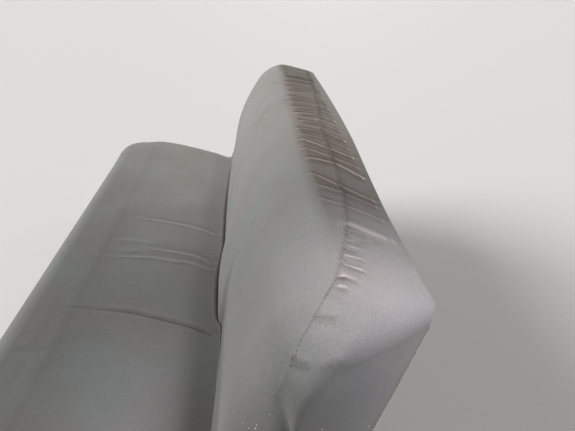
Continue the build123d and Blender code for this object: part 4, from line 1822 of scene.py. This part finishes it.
@dataclass
class Fixings:
    """Bolts, washers and weld beads, in mm. Each kind is modelled once and copied."""

    head_flats: float = 13.0
    head_height: float = 5.3
    washer_r: float = 8.6
    washer_gauge: float = 1.5
    bead_r: float = 2.2
    bead_pitch: float = 3.3
    bead_count: int = 6
    # Where they sit: bolts at the rails' feet and in the brackets, beads at the cross members
    rail_xs: tuple[float, float] = (-470, 470)
    rail_ys: tuple[float, float] = (-268, 128)
    rail_z: tuple[float, float] = (94.5, 89)
    bracket_xs: tuple[float, ...] = (-560, -190, 190, 560)
    bracket_y: float = 73
    bracket_z: float = 132
    bracket_bolt_x: float = 11
    member_xs: tuple[float, ...] = (-470, 0, 470)
    bead_x: float = 22.6
    bead_ys: tuple[float, float] = (-311.2, 41.2)
    bead_z: float = 125

    def bolt(self) -> bpy.types.Object:
        """A hexagon head on a washer, seated on z = 0.

        Returns:
            The model.
        """
        choose()
        bpy.ops.mesh.primitive_cylinder_add(
            vertices=24, radius=self.washer_r * MM, depth=self.washer_gauge * MM,
            location=(0, 0, self.washer_gauge / 2 * MM))
        washer = bpy.context.object
        bpy.ops.mesh.primitive_cylinder_add(
            vertices=6, radius=self.head_flats / math.sqrt(3) * MM, depth=self.head_height * MM,
            location=(0, 0, (self.washer_gauge + self.head_height / 2) * MM))
        head = bpy.context.object
        for part, width in ((washer, 0.35), (head, 0.7)):
            add_bevel(part, width, 2, 50)
            smoothed(part, 35)
        return joined("bolt_model", [washer, head])

    def bead(self) -> bpy.types.Object:
        """A short weld bead of overlapping drops along z.

        Returns:
            The model.
        """
        drops = []
        for k in range(self.bead_count):
            bpy.ops.mesh.primitive_uv_sphere_add(
                segments=8, ring_count=6, radius=self.bead_r * MM,
                location=(0, 0, (k - (self.bead_count - 1) / 2) * self.bead_pitch * MM))
            bpy.context.object.scale = (1.0, 0.8, 1.15)
            settle(bpy.context.object)
            drops.append(bpy.context.object)
        bead = joined("bead_model", drops)
        shade_smooth(bead.data)
        return bead

    def seated(self, places: list[tuple], turn: Matrix) -> list[Matrix]:
        """Where the copies go.

        Args:
            places: points in mm.
            turn: how each is turned.

        Returns:
            One move each.
        """
        return [Matrix.Translation(Vector(p) * MM) @ turn for p in places]

    def make(self) -> None:
        """Sets bolts in the tracks, bolts in the brackets and beads on the frame."""
        upright, over = Matrix.Identity(4), Matrix.Rotation(math.pi, 4, "X")
        rearward = Matrix.Rotation(-math.pi / 2, 4, "X")
        heads = copies(self.bolt(), [
            move for z, turn in zip(self.rail_z, (upright, over))
            for move in self.seated([(x, y, z) for x in self.rail_xs for y in self.rail_ys], turn)])
        dressed(joined("track_bolts", heads), ZINC, Body.TRACKS, "rail_steel")
        brackets = [(x + side * self.bracket_bolt_x, self.bracket_y, self.bracket_z)
                    for x in self.bracket_xs for side in (-1, 1)]
        heads = copies(self.bolt(), self.seated(brackets, rearward))
        dressed(joined("bracket_bolts", heads), ZINC, Body.SEAT, "frame_paint")
        joints = [(x + side * self.bead_x, y, self.bead_z) for x in self.member_xs
                  for side in (-1, 1) for y in self.bead_ys]
        beads = copies(self.bead(), self.seated(joints, upright))
        dressed(joined("weld_beads", beads), ENAMEL, Body.SEAT, "frame_paint")


@dataclass
class Stitching:
    """Sewn thread on the backrest's seam and rear hem, in mm."""

    length: float = 4.6
    thread_r: float = 0.55
    pitch: float = 6.2
    proud: float = 0.35

    def stitch(self) -> bpy.types.Object:
        """One stitch along x.

        Returns:
            The model.
        """
        choose()
        bpy.ops.mesh.primitive_uv_sphere_add(segments=6, ring_count=4, radius=self.thread_r * MM,
                                             rotation=(0, math.pi / 2, 0))
        model = bpy.context.object
        settle(model)
        model.scale = (self.length / 2 / self.thread_r, 1, 1)
        settle(model)
        bpy.ops.object.shade_smooth()
        return model

    def along(self, item: bpy.types.Object, points: tuple) -> list[Matrix]:
        """Places for stitches along a line on a cover.

        Args:
            item: the cover.
            points: the line's points.

        Returns:
            One move each.
        """
        line = through_points(points, 3)
        runs = lengths_along(line)
        tree = surface(item)
        moves = []
        for run in np.arange(self.pitch, runs[-1] - self.pitch, self.pitch):
            ends = []
            for at in (run - self.length / 2, run + self.length / 2):
                spot = [np.interp(at, runs, line[:, k]) for k in range(3)]
                ends.append(tree.find_nearest(spot))
            start, end = (spot + out * self.proud * self.thread_r for spot, out, *_ in ends)
            ahead = (end - start).normalized()
            out = ends[0][1].cross(ahead).normalized()
            turn = Matrix((ahead, out, ahead.cross(out))).transposed().to_4x4()
            moves.append(Matrix.Translation((start + end) / 2 * MM) @ turn)
        return moves

    def make(self, item: bpy.types.Object, lines: list[tuple]) -> bpy.types.Object:
        """Sews the lines.

        Args:
            item: the cover.
            lines: points of each line.

        Returns:
            The stitches as one piece.
        """
        moves = [move for points in lines for move in self.along(item, points)]
        stitches = joined("backrest_stitches", copies(self.stitch(), moves))
        return dressed(stitches, THREAD, Body.SEAT, "cover_cloth")


@dataclass(frozen=True)
class Viewpoint:
    """Where the picture was taken from, in metres and degrees. It looks along the seat."""

    place: tuple[float, float, float] = (1.0043, 0.1527, 0.9665)
    yaw: float = 5.0973
    pitch: float = 30.3828
    roll: float = 1.6134
    lens: float = 27.394

    def make(self) -> None:
        """Adds the camera."""
        yaw, pitch, roll = (math.radians(a) for a in (self.yaw, self.pitch, self.roll))
        ahead, right, up = Vector((-1, 0, 0)), Vector((0, 1, 0)), Vector((0, 0, 1))
        level = ahead * math.cos(yaw) + right * math.sin(yaw)
        right = right * math.cos(yaw) - ahead * math.sin(yaw)
        forward = level * math.cos(pitch) - up * math.sin(pitch)
        up = up * math.cos(pitch) + level * math.sin(pitch)
        tilted = right * math.cos(roll) + up * math.sin(roll)
        up = up * math.cos(roll) - right * math.sin(roll)
        lens = bpy.data.cameras.new("camera")
        lens.lens = self.lens
        lens.sensor_width = 36
        lens.clip_start = 0.01
        camera = bpy.data.objects.new("camera", lens)
        turn = Matrix((tilted, up, -forward)).transposed().to_4x4()
        camera.matrix_world = Matrix.Translation(self.place) @ turn
        bpy.context.scene.camera = linked(camera)


def add_lamp(name: str, kind: str, colour: str, ahead: Vector, settings: dict) -> bpy.types.Object:
    """Adds a lamp.

    Args:
        name: its name.
        kind: the light's type.
        colour: its colour.
        ahead: the way that it shines.
        settings: the light's properties by name.

    Returns:
        The lamp.
    """
    light = bpy.data.lights.new(name, kind)
    light.color = linear(colour)[:3]
    for key, value in settings.items():
        setattr(light, key, value)
    item = bpy.data.objects.new(name, light)
    item.rotation_euler = ahead.to_track_quat("-Z", "Y").to_euler()
    return linked(item)


@dataclass(frozen=True)
class Lamp:
    """A very soft far lamp: the way that it shines from, its strength and how wide it is."""

    name: str
    azimuth: float
    height: float
    strength: float
    width: float
    colour: str = "#ffffff"

    def make(self) -> bpy.types.Object:
        """Adds the lamp. Azimuth 0 is from +x, and 90 degrees from +y.

        Returns:
            The lamp.
        """
        turn, rise = math.radians(self.azimuth), math.radians(self.height)
        source = Vector((math.cos(turn) * math.cos(rise), math.sin(turn) * math.cos(rise), math.sin(rise)))
        return add_lamp(self.name, "SUN", self.colour, -source, {
            "energy": self.strength, "angle": math.radians(self.width)})


@dataclass(frozen=True)
class Softbox:
    """A near lamp behind a grid, which lights one place of the covers. Lengths in metres."""

    name: str
    place: tuple[float, float, float]
    aim: tuple[float, float, float]
    size: float
    power: float
    spread: float
    colour: str = "#ffffff"

    def make(self) -> bpy.types.Object:
        """Adds the lamp.

        Returns:
            The lamp.
        """
        item = add_lamp(self.name, "AREA", self.colour, Vector(self.aim) - Vector(self.place), {
            "shape": "DISK", "size": self.size, "energy": self.power,
            "spread": math.radians(self.spread)})
        item.location = self.place
        return item


@dataclass
class Studio:
    """Floor, world and lamps: light from low on the sides, with little from above and +x."""

    lit: list[bpy.types.Object]
    floor_m: float = 60.0
    sky: str = "#f1f4f6"
    # The sky's strength at the horizon and high up, and how much more of it is seen or mirrored
    low: float = 0.42
    high: float = 0.09
    seen: float = 0.5
    lamps: tuple = (
        Lamp("windscreen_light", -97, 27, 3.25, 40),
        Lamp("near_window_light", -12, 54, 0.5, 16, "#fffaf4"),
        Lamp("far_window_light", 172, 22, 0.6, 16),
        Lamp("rear_light", 100, 30, 0.35, 60, "#fff6ee"),
        Softbox("near_end_light", (0.72, 0.62, 1.34), (0.67, 0.30, 0.61), 0.35, 1.05, 36, "#fbf4ff"),
        Softbox("band_light", (0.75, 0.34, 1.45), (-0.15, 0.29, 0.64), 0.3, 0.9, 50, "#fff2e6"),
        Softbox("far_end_light", (-1.30, -0.25, 1.20), (-0.55, 0.0, 0.45), 0.5, 1.5, 70, "#fff2e4"),
    )

    def lay_floor(self) -> None:
        """Lays the pale floor, which isn't part of the seat."""
        choose()
        bpy.ops.mesh.primitive_plane_add(size=self.floor_m)
        floor = bpy.context.object
        floor.name = "floor"
        floor.data.materials.append(StudioFloor("studio_floor").material())

    def light_world(self) -> None:
        """Lights the world from low on the sides. Seen or mirrored, it looks brighter than it shines."""
        world = bpy.data.worlds.new("studio")
        world.use_nodes = True
        tree = world.node_tree
        tree.nodes.clear()
        path = add_node(tree, "ShaderNodeLightPath").outputs
        way = add_node(tree, "ShaderNodeTexCoord").outputs["Generated"]
        parts = add_node(tree, "ShaderNodeSeparateXYZ", inputs={0: way}).outputs
        rise = add_node(tree, "ShaderNodeMath", {"operation": "MULTIPLY_ADD"}, {
            0: parts["X"], 1: 0.5, 2: parts["Z"]}).outputs[0]
        strength = add_node(tree, "ShaderNodeMapRange", inputs={
            "Value": rise, "From Max": 0.7, "To Min": self.low, "To Max": self.high}).outputs[0]
        for kind in ("Is Camera Ray", "Is Glossy Ray", "Is Transmission Ray"):
            strength = add_node(tree, "ShaderNodeMath", {"operation": "MULTIPLY_ADD"}, {
                0: path[kind], 1: self.seen, 2: strength}).outputs[0]
        shade = add_node(tree, "ShaderNodeBackground", inputs={
            "Color": linear(self.sky), "Strength": strength})
        add_node(tree, "ShaderNodeOutputWorld", inputs={"Surface": shade.outputs[0]})
        bpy.context.scene.world = world

    def hang_lamps(self) -> None:
        """Hangs the lamps. The softboxes light the covers alone."""
        near = bpy.data.collections.new("lit_by_softboxes")
        for item in self.lit:
            near.objects.link(item)
        for lamp in self.lamps:
            light = lamp.make()
            if isinstance(lamp, Softbox):
                light.light_linking.receiver_collection = near

    def make(self) -> None:
        """Builds the studio."""
        self.lay_floor()
        self.light_world()
        self.hang_lamps()


def dress_nodes() -> None:
    """Gives every node its finish, and the pressed steel's edges a small rounding."""
    for row in frame["record"]["subparts"]:
        node = NODES[row["node"]]
        node.data.materials.clear()
        node.data.materials.append(SLOT_FINISHES[row["material_slot"]].material())
        if row["material_slot"] in ("frame_paint", "rail_steel"):
            weld = node.modifiers.new("weld", "WELD")
            weld.merge_threshold = 0.01 * MM
            add_bevel(node, 0.5, 2, 40)


def main() -> None:
    """Builds the scene in order."""
    logging.basicConfig(level=logging.INFO, format="%(name)s: %(message)s")
    bpy.context.scene.view_settings.view_transform = "Standard"
    dress_nodes()
    backrest = BackrestCover()
    covers = [backrest.make(), CushionCover(backrest).make()]
    Deck().make()
    LeverKnob().make()
    Fixings().make()
    seams = [seam.points for seam in backrest.seam_lines()]
    covers.append(Stitching().make(covers[0], [*seams, backrest.rear_hem(15)]))
    Viewpoint().make()
    Studio(covers).make()
    choose()


if __name__ == "__main__":
    main()
